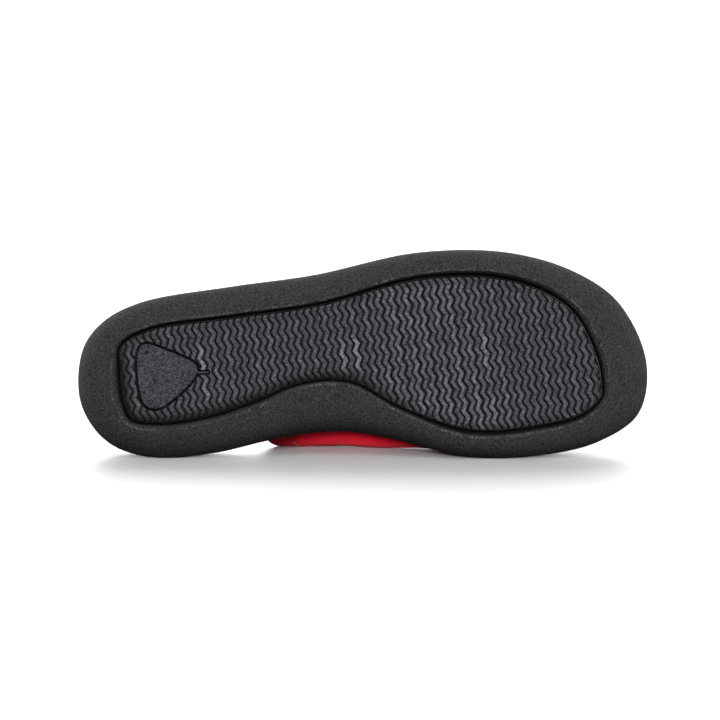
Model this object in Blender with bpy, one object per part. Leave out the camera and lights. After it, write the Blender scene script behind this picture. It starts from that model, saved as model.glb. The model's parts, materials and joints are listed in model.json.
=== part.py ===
"""Mule slipper for the right foot, lying on its inner side as on a floor.

Shoe frame, in millimetres: x from heel to toe, y towards the inner side of the foot, z up from the ground
under the tread. Every piece is modelled there and hangs on one empty, which lays the shoe down.
"""

import math
from collections import namedtuple

import bmesh
import bpy
import numpy as np
from mathutils import Matrix, Vector

MM = 0.001

# Driving sizes, millimetres
GAP = 0.3                 # clearance between pieces that touch
UPPER_WALL = 2.4          # vamp cloth with its lining
WELL_DEPTH = 4.5          # recess that holds the tread pad
MOAT_WIDTH = 2.2          # sloped wall between the flange and the tread pad
MOAT_DEPTH = 2.2
LIP_ROUND = 0.4           # rounding of the flange's inner edge
FLANGE_FULLNESS = 2.3     # 2 is an ellipse, more is fuller
PAD_BEVEL = 0.6
WALL_SLOPE = 0.2          # side wall leans in by this share of its height above the fullest line
RIM_WIDTH = 3.0
RIM_ROUND = 1.4           # outer corner of the rim
RIM_INNER_ROUND = 0.7     # corner of the rim towards the foot
VAMP_REAR_INNER = 79.0    # where the vamp's rear edge leaves the rim, inner side
VAMP_REAR_OUTER = 84.0    # the same on the outer side
SKIRT_ABOVE_RIM = 0.6     # upright part of the vamp ends this far above the rim
BULGE_PEAK = 1.3          # higher moves the fullest part of the vamp's side upwards
TOPLINE_HOLLOW = 1.8      # 1 is a straight rear edge from rim to throat, more stays upright longer at the rim
INSOLE_NARROWS = (66.0, 76.0)   # the insole draws in over this stretch to fit inside the vamp

# Mesh counts
HALF_STATIONS = 56        # round each half of the sole
FLANGE_STEPS = 6
RIM_STEPS = 2
VAMP_RAYS = 40            # from toe to rear edge on each side
VAMP_STEPS = 13           # from rim to the ridge of the instep
DENSE_STEPS = 30          # curve samples between two rows of the outline
FAN_SPREAD = 18           # samples each way that share a direction inwards, so corners fan out evenly
WELD = 0.01               # points closer than this, in millimetres, become one
SETTLE_ROUNDS = 30        # corrections that bring heel, ball and vamp down to the floor

# Edge of the sole from the heel round the outer side to the toe and back along the inner side
# flange: width of the rounded border, widest: height of the fullest line of the side wall,
# cup: how much the insole rises at its edge
Edge = namedtuple("Edge", "place x y flange widest cup")
OUTLINE = (
    Edge("heel back", 0.0, 2.5, 15.4, 11.0, 2.6),
    Edge("heel back outer", 4.6, -18.4, 14.4, 11.0, 2.6),
    Edge("heel corner outer", 15.0, -29.2, 11.4, 11.0, 2.6),
    Edge("heel outer", 33.0, -35.6, 10.9, 10.5, 2.4),
    Edge("waist outer", 75.0, -36.9, 11.7, 10.0, 1.8),
    Edge("midfoot outer", 112.0, -36.7, 11.6, 10.0, 1.4),
    Edge("ball outer", 160.0, -40.0, 9.3, 10.0, 1.0),
    Edge("toes outer", 200.0, -34.2, 9.0, 10.0, 0.8),
    Edge("toe outer", 229.0, -21.0, 11.3, 9.5, 0.8),
    Edge("toe tip outer", 246.5, -4.2, 15.5, 9.0, 0.8),
    Edge("toe tip", 254.9, 24.0, 17.1, 9.0, 0.8),
    Edge("toe tip inner", 248.0, 46.3, 16.2, 9.0, 0.8),
    Edge("toe inner", 228.0, 56.2, 12.5, 9.5, 0.8),
    Edge("ball inner", 200.0, 58.3, 11.0, 10.0, 1.0),
    Edge("ball rear inner", 168.0, 54.0, 10.3, 11.0, 1.6),
    Edge("arch front", 136.0, 41.4, 15.0, 15.0, 3.4),
    Edge("arch crown", 116.0, 35.3, 22.2, 17.0, 4.2),
    Edge("arch", 98.0, 33.7, 21.0, 18.0, 4.4),
    Edge("arch rear", 80.0, 34.4, 16.5, 15.0, 3.9),
    Edge("heel inner", 56.0, 36.3, 14.4, 12.0, 3.2),
    Edge("heel rear inner", 30.0, 34.4, 13.1, 11.0, 2.6),
    Edge("heel corner inner", 13.5, 27.6, 12.2, 11.0, 2.6),
    Edge("heel back inner", 4.4, 17.4, 14.0, 11.0, 2.6),
)
TOE_TIP_ROW = 10

# Heights along the sole: ground (toe spring and heel rocker), tray floor, rim, middle of the footbed
Level = namedtuple("Level", "place x ground tray rim footbed")
LEVELS = (
    Level("heel end", -2.0, 1.2, 22.0, 33.0, 28.8),
    Level("heel seat", 22.0, 0.0, 22.0, 32.5, 28.6),
    Level("waist", 90.0, 0.0, 20.5, 30.5, 27.0),
    Level("midfoot", 130.0, 0.0, 17.0, 27.0, 22.6),
    Level("ball", 180.0, 0.0, 13.0, 22.8, 17.8),
    Level("toes", 215.0, 1.4, 12.8, 22.6, 17.4),
    Level("toe end", 256.0, 7.0, 17.0, 27.0, 21.4),
)

# Vamp from the toe (along 0) to the rear edge (along 1): ridge point, fullness of the section
# and how far the inner and outer sides swell beyond the rim
Section = namedtuple("Section", "place along x y z fullness inner outer")
VAMP = (
    Section("toe front", 0.0, 230.0, 22.0, 46.2, 2.3, 1.5, 1.5),
    Section("toe box", 0.2, 222.0, 21.5, 47.2, 2.4, 1.5, 1.5),
    Section("toe joints", 0.4, 197.0, 18.0, 53.0, 2.5, 2.0, 2.5),
    Section("ball", 0.6, 166.0, 13.0, 62.0, 2.55, 7.0, 3.5),
    Section("instep", 0.8, 137.0, 8.0, 73.0, 2.6, 15.0, 5.0),
    Section("instep rear", 0.9, 124.5, 6.0, 78.0, 2.6, 15.4, 5.5),
    Section("throat", 1.0, 113.0, 4.0, 83.0, 2.6, 13.2, 6.0),
)

# Cupped top of the insole: distance in from its side, and the share of the edge's rise there
Cup = namedtuple("Cup", "inwards share")
INSOLE_CUP = (Cup(0.0, 0.8), Cup(0.8, 1.0), Cup(5.0, 0.62), Cup(11.0, 0.2))

# Lying pose to start from, degrees
FIRST_LEVEL = 8.0
FIRST_LEAN = 6.5

Station = namedtuple("Station", "x y flange widest cup inward_x inward_y")


def read_table(rows, key, column, at):
    """Value of a column where the key column reads `at`, on a smooth curve that never overshoots."""
    keys = np.array([getattr(row, key) for row in rows])
    values = np.array([getattr(row, column) for row in rows])
    at = min(max(at, keys[0]), keys[-1])
    steps = np.diff(keys)
    rises = np.diff(values) / steps
    slopes = np.zeros(len(keys))
    slopes[0] = rises[0]
    slopes[-1] = rises[-1]
    for row in range(1, len(keys) - 1):
        if rises[row - 1] * rises[row] > 0:
            slopes[row] = 2.0 / (1.0 / rises[row - 1] + 1.0 / rises[row])
    span = min(int(np.searchsorted(keys, at, side="right")) - 1, len(steps) - 1)
    step = steps[span]
    t = (at - keys[span]) / step
    return (values[span] * (2 * t**3 - 3 * t**2 + 1) + slopes[span] * step * (t**3 - 2 * t**2 + t)
            + values[span + 1] * (3 * t**2 - 2 * t**3) + slopes[span + 1] * step * (t**3 - t**2))


def level(x, column):
    return read_table(LEVELS, "x", column, x)


def smooth_step(start, end, at):
    t = min(max((at - start) / (end - start), 0.0), 1.0)
    return t * t * (3.0 - 2.0 * t)


def dense_outline():
    """Closed centripetal curve through the rows of OUTLINE, with all their columns."""
    table = np.array([row[1:] for row in OUTLINE])
    count = len(table)
    points = []
    for row in range(count):
        before, start, end, after = (table[(row + shift) % count] for shift in (-1, 0, 1, 2))
        knot_a, knot_b, knot_c = (math.sqrt(np.hypot(*(q - p)[:2]))
                                  for p, q in ((before, start), (start, end), (end, after)))
        slope_start = knot_b * ((start - before) / knot_a - (end - before) / (knot_a + knot_b)
                                + (end - start) / knot_b)
        slope_end = knot_b * ((end - start) / knot_b - (after - start) / (knot_b + knot_c)
                              + (after - end) / knot_c)
        for step in range(DENSE_STEPS):
            t = step / DENSE_STEPS
            points.append(start * (2 * t**3 - 3 * t**2 + 1) + slope_start * (t**3 - 2 * t**2 + t)
                          + end * (3 * t**2 - 2 * t**3) + slope_end * (t**3 - t**2))
    return np.array(points)


def half_outline(inner):
    """The dense curve of one side, from the toe tip to the heel back, with its length so far."""
    dense = dense_outline()
    tangents = np.roll(dense, -1, axis=0)[:, :2] - np.roll(dense, 1, axis=0)[:, :2]
    tangents /= np.hypot(tangents[:, 0], tangents[:, 1])[:, None]
    square = np.column_stack((-tangents[:, 1], tangents[:, 0]))
    inward = sum(np.roll(square, shift, axis=0) for shift in range(-FAN_SPREAD, FAN_SPREAD + 1))
    full = np.hstack((dense, inward))
    toe = TOE_TIP_ROW * DENSE_STEPS
    half = np.vstack((full[toe:], full[:1])) if inner else full[toe::-1]
    lengths = np.hypot(*np.diff(half[:, :2], axis=0).T)
    return half, np.concatenate(([0.0], np.cumsum(lengths)))


def station_at(half, lengths, distance):
    """Station of one side at a distance from the toe tip, measured along the edge."""
    values = [np.interp(distance, lengths, half[:, column]) for column in range(half.shape[1])]
    norm = math.hypot(values[-2], values[-1])
    return Station(*values[:-2], values[-2] / norm, values[-1] / norm)


def sole_stations():
    """Stations all round the sole from the heel back: outer side to the toe, inner side home."""
    sides = []
    for inner in (False, True):
        half, lengths = half_outline(inner)
        spread = np.linspace(0.0, lengths[-1], HALF_STATIONS + 1)
        sides.append([station_at(half, lengths, distance) for distance in spread])
    outer, inner = sides
    return outer[:0:-1] + inner[:-1]


def inset(station, distance):
    """Plan point that lies inside the edge by a distance."""
    return station.x + station.inward_x * distance, station.y + station.inward_y * distance


def edge_point(station, distance, column, rise):
    """Point inside the edge by a distance, with a height above one of the level lines."""
    x, y = inset(station, distance)
    return x, y, level(x, column) + rise


def rim_outside(station):
    """How far the rim lies inside the edge of the sole, because the side wall leans in."""
    fullest = level(station.x, "ground") + station.widest
    return WALL_SLOPE * (level(station.x, "rim") - fullest)


def tray_wall(station):
    """How far the wall of the tray lies inside the edge of the sole."""
    return rim_outside(station) + RIM_WIDTH


def skin_rings(rings):
    """Closed body through rings of equal counts, with its two ends closed by cross strips."""
    body = bmesh.new()
    loops = [[body.verts.new(Vector(point) * MM) for point in ring] for ring in rings]
    count = len(loops[0])
    for lower, upper in zip(loops, loops[1:]):
        for here in range(count):
            after = (here + 1) % count
            body.faces.new((lower[here], lower[after], upper[after], upper[here]))
    for loop in (loops[0], loops[-1]):
        middle = count // 2
        body.faces.new((loop[0], loop[1], loop[-1]))
        body.faces.new((loop[middle - 1], loop[middle], loop[middle + 1]))
        for here in range(1, middle - 1):
            body.faces.new((loop[here], loop[here + 1], loop[-here]))
            body.faces.new((loop[here + 1], loop[-here - 1], loop[-here]))
    bmesh.ops.recalc_face_normals(body, faces=body.faces)
    return body


def make_material(name, colour, roughness):
    material = bpy.data.materials.new(name)
    material.use_nodes = True
    shader = material.node_tree.nodes["Principled BSDF"]
    shader.inputs["Base Color"].default_value = (*colour, 1.0)
    shader.inputs["Roughness"].default_value = roughness
    shader.inputs["Metallic"].default_value = 0.0
    return material


def add_piece(name, body, material, shoe, sharp_angle=40.0):
    mesh = bpy.data.meshes.new(name)
    body.to_mesh(mesh)
    body.free()
    mesh.materials.append(material)
    mesh.shade_smooth()
    mesh.set_sharp_from_angle(angle=math.radians(sharp_angle))
    piece = bpy.data.objects.new(name, mesh)
    bpy.context.collection.objects.link(piece)
    piece.parent = shoe
    return piece


def foam_sole_rings(stations):
    """Rings from the floor of the tread well, round the flange and side wall, to the tray floor."""
    rings = [
        [edge_point(s, s.flange + MOAT_WIDTH, "ground", WELL_DEPTH) for s in stations],
        [edge_point(s, s.flange + MOAT_WIDTH, "ground", MOAT_DEPTH) for s in stations],
        [edge_point(s, s.flange + LIP_ROUND, "ground", LIP_ROUND) for s in stations],
        [edge_point(s, s.flange - LIP_ROUND, "ground", 0.0) for s in stations],
    ]
    power = 2.0 / FLANGE_FULLNESS
    for step in range(1, FLANGE_STEPS + 1):
        turn = 0.5 * math.pi * step / FLANGE_STEPS
        across = 1.0 - math.sin(turn) ** power
        up = 1.0 - max(math.cos(turn), 0.0) ** power
        rings.append([edge_point(s, (s.flange - LIP_ROUND) * across, "ground", s.widest * up)
                      for s in stations])
    for step in range(RIM_STEPS + 1):
        turn = 0.5 * math.pi * step / RIM_STEPS
        inwards = RIM_ROUND * (1.0 - math.cos(turn))
        drop = RIM_ROUND * (1.0 - math.sin(turn))
        rings.append([edge_point(s, rim_outside(s) + inwards, "rim", -drop) for s in stations])
    rings += [
        [edge_point(s, tray_wall(s) - RIM_INNER_ROUND, "rim", 0.0) for s in stations],
        [edge_point(s, tray_wall(s), "rim", -RIM_INNER_ROUND) for s in stations],
        [edge_point(s, tray_wall(s), "tray", 0.0) for s in stations],
    ]
    return rings


def tread_pad_rings(stations):
    """Rings of the pad from its glued face, down its side, to the plane that treads the ground."""
    side = MOAT_WIDTH + GAP
    return [
        [edge_point(s, s.flange + side, "ground", WELL_DEPTH - GAP) for s in stations],
        [edge_point(s, s.flange + side, "ground", PAD_BEVEL) for s in stations],
        [edge_point(s, s.flange + side + PAD_BEVEL, "ground", 0.0) for s in stations],
    ]


def insole_edge(station):
    """Distance of the insole's side from the edge of the sole: in the tray, then inside the vamp."""
    inside_vamp = smooth_step(*INSOLE_NARROWS, station.x)
    return tray_wall(station) + GAP + (UPPER_WALL + GAP) * inside_vamp


def insole_rings(stations):
    """Rings of the footbed from its underside, up its side and in over the cupped top."""
    rings = [[edge_point(s, insole_edge(s), "tray", GAP) for s in stations]]
    for cup in INSOLE_CUP:
        rings.append([edge_point(s, insole_edge(s) + cup.inwards, "footbed", s.cup * cup.share)
                      for s in stations])
    return rings


def vamp_ray(half, lengths, end, along, inner):
    """Points of one ray of the vamp, from inside the tray up to the ridge of the instep."""
    station = station_at(half, lengths, end * along)
    x, y = inset(station, tray_wall(station) + GAP)
    start = level(x, "rim") + SKIRT_ABOVE_RIM
    ray = [(x, y, level(x, "tray") + GAP), (x, y, level(x, "rim"))]
    ridge_along = max(along, 1.0 / VAMP_RAYS)
    ridge = Vector([read_table(VAMP, "along", column, ridge_along) for column in "xyz"])
    power = 2.0 / read_table(VAMP, "along", "fullness", along)
    swell = read_table(VAMP, "along", "inner" if inner else "outer", along)
    peak = BULGE_PEAK / (1.0 + BULGE_PEAK)
    lean = smooth_step(0.0, 1.0, along)
    for step in range(VAMP_STEPS + 1):
        turn = 0.5 * math.pi * step / VAMP_STEPS
        across = 1.0 - max(math.cos(turn), 0.0) ** power
        up = math.sin(turn) ** power
        bump = swell * up**BULGE_PEAK * (1.0 - up) / (peak**BULGE_PEAK * (1.0 - peak))
        forward = across + (up**TOPLINE_HOLLOW - across) * lean
        ray.append((x + (ridge.x - x) * forward - station.inward_x * bump,
                    y + (ridge.y - y) * across - station.inward_y * bump,
                    start + (ridge.z - start) * up))
    return ray


def rear_distance(half, lengths, rear_x):
    """Distance from the toe tip at which a side's edge comes back to a given x."""
    return float(np.interp(-rear_x, -half[:, 0], lengths))


def vamp_surface():
    """Outer face of the vamp: rays of both sides, joined along the ridge."""
    rays = []
    for inner, rear_x in ((True, VAMP_REAR_INNER), (False, VAMP_REAR_OUTER)):
        half, lengths = half_outline(inner)
        end = rear_distance(half, lengths, rear_x)
        side = [vamp_ray(half, lengths, end, step / VAMP_RAYS, inner)
                for step in range(VAMP_RAYS + 1)]
        rays = side[::-1] if inner else rays + side[1:]
    body = bmesh.new()
    grid = [[body.verts.new(Vector(point) * MM) for point in ray] for ray in rays]
    for left, right in zip(grid, grid[1:]):
        for low in range(len(left) - 1):
            body.faces.new((left[low], left[low + 1], right[low + 1], right[low]))
    bmesh.ops.remove_doubles(body, verts=body.verts, dist=WELD * MM)
    bmesh.ops.recalc_face_normals(body, faces=body.faces)
    return body


def face_outwards(body):
    """Turns an open shell round if its topmost face looks down."""
    top = max(body.faces, key=lambda face: face.calc_center_median().z)
    if top.normal.z < 0.0:
        bmesh.ops.reverse_faces(body, faces=body.faces)


def make_foam_sole(stations, shoe):
    foam = make_material("black_foam", (0.030, 0.030, 0.031), 0.62)
    return add_piece("foam_sole", skin_rings(foam_sole_rings(stations)), foam, shoe)


def make_tread_pad(stations, shoe):
    rubber = make_material("black_rubber", (0.042, 0.042, 0.045), 0.45)
    return add_piece("tread_pad", skin_rings(tread_pad_rings(stations)), rubber, shoe)


def make_insole(stations, shoe):
    cloth = make_material("charcoal_cloth", (0.050, 0.048, 0.050), 0.9)
    return add_piece("insole", skin_rings(insole_rings(stations)), cloth, shoe)


def make_upper(shoe):
    red = make_material("red_vamp", (0.62, 0.015, 0.035), 0.5)
    surface = vamp_surface()
    face_outwards(surface)
    upper = add_piece("upper", surface, red, shoe)
    wall = upper.modifiers.new("wall", "SOLIDIFY")
    wall.thickness = UPPER_WALL * MM
    wall.offset = -1.0
    wall.use_even_offset = True
    wall.use_quality_normals = True
    return upper


def shoe_points(piece):
    """Finished points of a piece in the shoe frame."""
    finished = piece.evaluated_get(bpy.context.evaluated_depsgraph_get()).data
    points = np.empty(len(finished.vertices) * 3)
    finished.vertices.foreach_get("co", points)
    return points.reshape(-1, 3)


def lying_turn(level_angle, lean_angle):
    """Shoe on its inner side: toe to +X, sole to -Y, levelled along the floor, then leant back."""
    on_side = Matrix.Rotation(-0.5 * math.pi, 3, "X")
    levelled = Matrix.Rotation(-level_angle, 3, "Y")
    leant = Matrix.Rotation(-lean_angle, 3, "X")
    return leant @ levelled @ on_side


def lay_down(shoe, sole, upper, pieces):
    """Turns the shoe until heel edge, ball edge and vamp all meet the floor, and centres it there."""
    sole_points = shoe_points(sole)
    upper_points = shoe_points(upper)
    front = sole_points[:, 0] > 0.5 * sole_points[:, 0].max()
    level_angle = math.radians(FIRST_LEVEL)
    lean_angle = math.radians(FIRST_LEAN)
    for _ in range(SETTLE_ROUNDS):
        turn = np.array(lying_turn(level_angle, lean_angle))
        ball, heel, side = (min(group @ turn.T, key=lambda point: point[2])
                            for group in (sole_points[front], sole_points[~front], upper_points))
        level_angle -= (ball[2] - heel[2]) / (ball[0] - heel[0])
        lean_angle += (side[2] - 0.5 * (ball[2] + heel[2])) / (side[1] - ball[1])
    points = np.vstack([shoe_points(piece) for piece in pieces]) @ turn.T
    low = points.min(axis=0)
    high = points.max(axis=0)
    centre = Vector((-0.5 * (low[0] + high[0]), -0.5 * (low[1] + high[1]), -low[2]))
    shoe.matrix_world = Matrix.Translation(centre) @ lying_turn(level_angle, lean_angle).to_4x4()


def main():
    for old in list(bpy.data.objects):
        bpy.data.objects.remove(old)
    shoe = bpy.data.objects.new("shoe", None)
    bpy.context.collection.objects.link(shoe)
    stations = sole_stations()
    sole = make_foam_sole(stations, shoe)
    tread = make_tread_pad(stations, shoe)
    insole = make_insole(stations, shoe)
    upper = make_upper(shoe)
    bpy.context.view_layer.update()
    lay_down(shoe, sole, upper, (sole, tread, insole, upper))
    bpy.context.view_layer.update()


main()
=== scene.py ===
"""Looks of a mule slipper for the right foot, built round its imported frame.

Shapes are worked out in the shoe's own frame, in millimetres: x from heel to toe, y towards the inner side of the
foot, z up from the ground under the tread. The mounts on the tread say how that frame lies in the scene.
"""

import json
import math
from collections import namedtuple

import bmesh
import bpy
import numpy as np
from bpy.props import FloatProperty, FloatVectorProperty, PointerProperty
from mathutils import Matrix, Vector


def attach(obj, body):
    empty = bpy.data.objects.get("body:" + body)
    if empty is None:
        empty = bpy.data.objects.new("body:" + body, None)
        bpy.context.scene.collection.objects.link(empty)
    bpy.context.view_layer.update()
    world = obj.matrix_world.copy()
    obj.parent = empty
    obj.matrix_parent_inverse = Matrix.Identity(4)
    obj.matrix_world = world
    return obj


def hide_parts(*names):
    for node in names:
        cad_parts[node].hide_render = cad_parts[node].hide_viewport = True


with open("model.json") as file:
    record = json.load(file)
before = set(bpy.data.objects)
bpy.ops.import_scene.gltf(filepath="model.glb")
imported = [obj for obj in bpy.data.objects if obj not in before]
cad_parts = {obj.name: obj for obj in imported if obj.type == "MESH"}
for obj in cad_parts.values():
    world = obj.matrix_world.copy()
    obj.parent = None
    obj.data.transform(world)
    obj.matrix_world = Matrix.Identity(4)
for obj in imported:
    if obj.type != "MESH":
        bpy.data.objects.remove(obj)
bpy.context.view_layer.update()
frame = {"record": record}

bl_info = {
    "name": "Mule slipper",
    "version": (1, 0, 0),
    "blender": (4, 5, 0),
    "location": "View3D > Sidebar > Slipper",
    "description": "Makes the visible pieces of a mule slipper and its stage",
    "category": "Object",
}

MM = 0.001
BODY = "root"

# Shape of the last and of the sole, as in the solids, millimetres
GAP = 0.3
WELL_DEPTH = 4.5
LIP_ROUND = 0.4
WALL_SLOPE = 0.2
RIM_WIDTH = 3.0
RIM_ROUND = 1.4
RIM_INNER_ROUND = 0.7
VAMP_REAR_INNER = 79.0
VAMP_REAR_OUTER = 84.0
SKIRT_ABOVE_RIM = 0.6
BULGE_PEAK = 1.3
TOPLINE_HOLLOW = 1.8
VAMP_WALL = 2.4
INSOLE_NARROWS = (66.0, 76.0)
TOE_POLE = 0.025          # rays of the vamp nearer the toe than this share one ridge point

# Mesh counts, and the distance within which points are joined
WELD_DISTANCE = 0.002
FOOTBED_COLUMNS = 64
SHEET_COLUMNS = 12
PLUG_SIDES = 24
DENSE_STEPS = 60
FAN_SPREAD = 36
SOLE_HALF = 190
VAMP_ROWS = 150
VAMP_STEPS = 48

# Edge of the sole from the heel round the outer side to the toe and back along the inner side. Border is the way
# from the flange's lip to the tread pad, sunk is how far the pad's border rib lies below the ridges and how much
# painted shade falls beside it, and fullness is the roundness of the flange: 2 is an ellipse and more is boxier
Edge = namedtuple("Edge", "place x y flange widest cup border sunk fullness")
OUTLINE = (
    Edge("heel back", 0.0, 2.5, 15.4, 11.0, 2.6, 3.8, 0.8, 2.2),
    Edge("heel back outer", 4.6, -18.4, 14.4, 11.0, 2.6, 3.3, 0.8, 2.3),
    Edge("heel corner outer", 15.0, -29.2, 11.4, 11.0, 2.6, 2.0, 0.7, 2.3),
    Edge("heel outer", 33.0, -35.6, 10.9, 10.5, 2.4, 1.8, 0.6, 2.3),
    Edge("waist outer", 75.0, -36.9, 11.7, 10.0, 1.8, 1.8, 0.6, 2.3),
    Edge("midfoot outer", 112.0, -36.7, 11.6, 10.0, 1.4, 1.7, 0.6, 2.3),
    Edge("ball outer", 160.0, -40.0, 9.3, 10.0, 1.0, 2.2, 0.6, 2.2),
    Edge("toes outer", 200.0, -34.2, 9.0, 10.0, 0.8, 2.7, 0.6, 2.3),
    Edge("toe outer", 229.0, -21.0, 11.5, 9.5, 0.8, 3.0, 0.3, 2.3),
    Edge("toe tip outer", 246.5, -4.2, 16.2, 9.0, 0.8, 3.3, 0.0, 2.3),
    Edge("toe tip", 254.9, 24.0, 17.9, 9.0, 0.8, 3.3, 0.0, 2.3),
    Edge("toe tip inner", 248.0, 46.3, 16.4, 9.0, 0.8, 3.1, 0.1, 2.2),
    Edge("toe inner", 228.0, 56.2, 12.5, 9.5, 0.8, 2.5, 0.5, 2.1),
    Edge("ball inner", 200.0, 58.3, 11.0, 10.0, 1.0, 2.5, 0.6, 2.0),
    Edge("ball rear inner", 168.0, 54.0, 9.7, 11.0, 1.6, 2.7, 0.6, 2.0),
    Edge("arch front", 136.0, 41.4, 13.6, 15.0, 3.4, 1.8, 0.7, 2.4),
    Edge("arch crown", 116.0, 35.3, 21.6, 17.0, 4.2, 1.6, 0.8, 2.7),
    Edge("arch", 98.0, 33.7, 21.3, 18.0, 4.4, 1.7, 0.8, 2.7),
    Edge("arch rear", 80.0, 34.4, 16.5, 15.0, 3.9, 2.5, 0.8, 2.5),
    Edge("heel inner", 56.0, 36.3, 14.4, 12.0, 3.2, 2.6, 0.8, 1.85),
    Edge("heel rear inner", 30.0, 34.4, 13.1, 11.0, 2.6, 2.6, 0.8, 1.6),
    Edge("heel corner inner", 13.5, 27.6, 12.2, 11.0, 2.6, 2.6, 0.8, 1.65),
    Edge("heel back inner", 4.4, 17.4, 14.0, 11.0, 2.6, 3.5, 0.8, 1.95),
)
TOE_TIP_ROW = 10

# Heights along the sole
Level = namedtuple("Level", "place x ground tray rim footbed")
LEVELS = (
    Level("heel end", -2.0, 1.2, 22.0, 33.0, 28.8),
    Level("heel seat", 22.0, 0.0, 22.0, 32.5, 28.6),
    Level("waist", 90.0, 0.0, 20.5, 30.5, 27.0),
    Level("midfoot", 130.0, 0.0, 17.0, 27.0, 22.6),
    Level("ball", 180.0, 0.0, 13.0, 22.8, 17.8),
    Level("toes", 215.0, 1.4, 12.8, 22.6, 17.4),
    Level("toe end", 256.0, 7.0, 17.0, 27.0, 21.4),
)

# Vamp from the toe (along 0) to the rear edge (along 1)
Section = namedtuple("Section", "place along x y z fullness inner outer")
VAMP = (
    Section("toe front", 0.0, 230.0, 22.0, 46.2, 2.3, 1.5, 1.5),
    Section("toe box", 0.2, 222.0, 21.5, 47.2, 2.4, 1.5, 1.5),
    Section("toe joints", 0.4, 197.0, 18.0, 53.0, 2.5, 2.0, 2.5),
    Section("ball", 0.6, 166.0, 13.0, 62.0, 2.55, 7.0, 3.5),
    Section("instep", 0.8, 137.0, 8.0, 73.0, 2.6, 15.0, 5.0),
    Section("instep rear", 0.9, 124.5, 6.0, 78.0, 2.6, 15.4, 5.5),
    Section("throat", 1.0, 113.0, 4.0, 83.0, 2.6, 13.2, 6.0),
)

# Cupped top of the insole: distance in from its side, and the share of the edge's rise there
Cup = namedtuple("Cup", "inwards share")
INSOLE_CUP = (Cup(0.0, 0.8), Cup(0.8, 1.0), Cup(5.0, 0.62), Cup(11.0, 0.2), Cup(22.0, 0.0))

# Soft folds of the vamp, each drawn by three points in one view of the shoe: from the top the second number is y,
# from a side it is z. Depth and width are of the trough, shoulder is the share of the depth that swells beside it
Fold = namedtuple("Fold", "place view points depth width shoulder")
FOLDS = (
    Fold("flex line", "top", ((184.0, 50.0), (176.0, 18.0), (170.0, -26.0)), 1.7, 4.4, 0.6),
    Fold("flex line rear", "top", ((168.0, 46.0), (163.0, 20.0), (160.0, -6.0)), 1.2, 3.6, 0.6),
    Fold("toe joints outer", "top", ((196.0, -22.0), (191.0, -4.0), (190.0, 8.0)), 1.0, 3.6, 0.5),
    Fold("instep hollow", "top", ((150.0, 22.0), (143.0, 8.0), (141.0, -10.0)), 0.9, 5.5, 0.4),
    Fold("inner rest", "inner", ((88.0, 46.0), (124.0, 42.0), (164.0, 36.0)), -1.4, 9.0, 0.0),
    Fold("inner rest front", "inner", ((126.0, 41.5), (146.0, 38.5), (168.0, 35.5)), -0.6, 7.0, 0.0),
    Fold("inner roll", "inner", ((112.0, 60.0), (128.0, 56.0), (150.0, 47.0)), 0.9, 4.0, 0.4),
    Fold("inner roll front", "inner", ((150.0, 44.0), (163.0, 40.0), (176.0, 39.0)), 0.8, 3.5, 0.5),
    Fold("outer flank", "outer", ((98.0, 50.0), (122.0, 43.5), (148.0, 42.5)), 0.9, 4.4, 0.5),
    Fold("outer flank front", "outer", ((144.0, 44.0), (162.0, 39.0), (184.0, 37.0)), 0.8, 3.8, 0.5),
)

# Middle of the groove round the heel triangle
TRIANGLE = (
    (27.4, -6.5), (27.9, -11.1), (29.4, -15.2), (31.3, -17.2), (34.1, -17.6), (37.8, -16.0), (43.4, -12.9),
    (48.9, -9.5), (53.2, -6.6), (55.1, -3.8), (54.9, -1.1), (52.6, 1.9), (48.0, 5.9), (42.1, 9.7), (37.1, 12.3),
    (33.7, 12.8), (30.4, 12.0), (28.1, 9.3), (27.1, 4.8), (26.9, -0.5),
)
# A small hole in the plate, and a pin that stands in a larger one
Plug = namedtuple("Plug", "place x y radius low high operation")
PLUGS = (
    Plug("hole", 33.3, -13.5, 0.6, -1.0, 1.0, "DIFFERENCE"),
    Plug("pin hole", 31.9, 8.7, 1.0, -1.0, 0.7, "DIFFERENCE"),
    Plug("pin", 31.9, 8.7, 0.6, 0.05, 1.2, "UNION"),
)
TRIANGLE_RIB = ((55.6, -1.1), (59.4, -0.6))
RIB_ROOT = 1.2            # how far the short rib reaches back into the plate
RIB_HALVES = (0.5, 0.4)   # half its width at the plate and at its tip
RIB_LOW = 0.1             # how far it lies below the plate's face
PLATE_EDGE = 0.28         # round along the plate's edge
PLATE_WORN = 0.06
PLATE_FADE = (0.15, 0.35)            # depths over which the plate's wear ends
PLATE_BLACK = (0.3, 0.9)  # depths over which painted shade turns its sides black

# Ridges that are rubbed paler: place along the sole, and from where to where across it
Rub = namedtuple("Rub", "place x y_from y_to strength")
RUBS = (
    Rub("behind the triangle", 57.0, -12.0, 0.0, 1.3),
    Rub("beside the triangle", 57.0, 1.0, 12.0, 0.8),
    Rub("arch", 120.5, -5.0, 8.0, 1.4),
    Rub("arch front", 127.0, -7.0, 9.0, 1.3),
    Rub("ball", 183.6, -2.0, 15.0, 1.2),
)
RIDGE_ORIGIN = 3.17       # middle of a ridge, from the heel, before the zigzag
ZIGZAG_PHASE = 0.06       # share of a zigzag by which it is moved across the sole
ZIGZAG_CLIP = 0.90        # the zigzag's corners are cut off at this share of its swing
RIDGE_NUMBERS = (3, 77)
CORNER_NUMBERS = (-11, 17)
CORNER_SIDES = (-0.42, -0.08, 0.08, 0.42)    # where the mesh is cut beside each corner of the zigzag
RIDGE_TOP = ((0.0, 0.0), (0.4, 0.04), (0.7, 0.15), (0.88, 0.32), (1.0, 0.58))   # share of half its width, depth
PAIRED_ZONE = (130.0, 144.0, 176.0, 190.0)   # ridges stand in pairs between the middle two, less so outside
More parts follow.
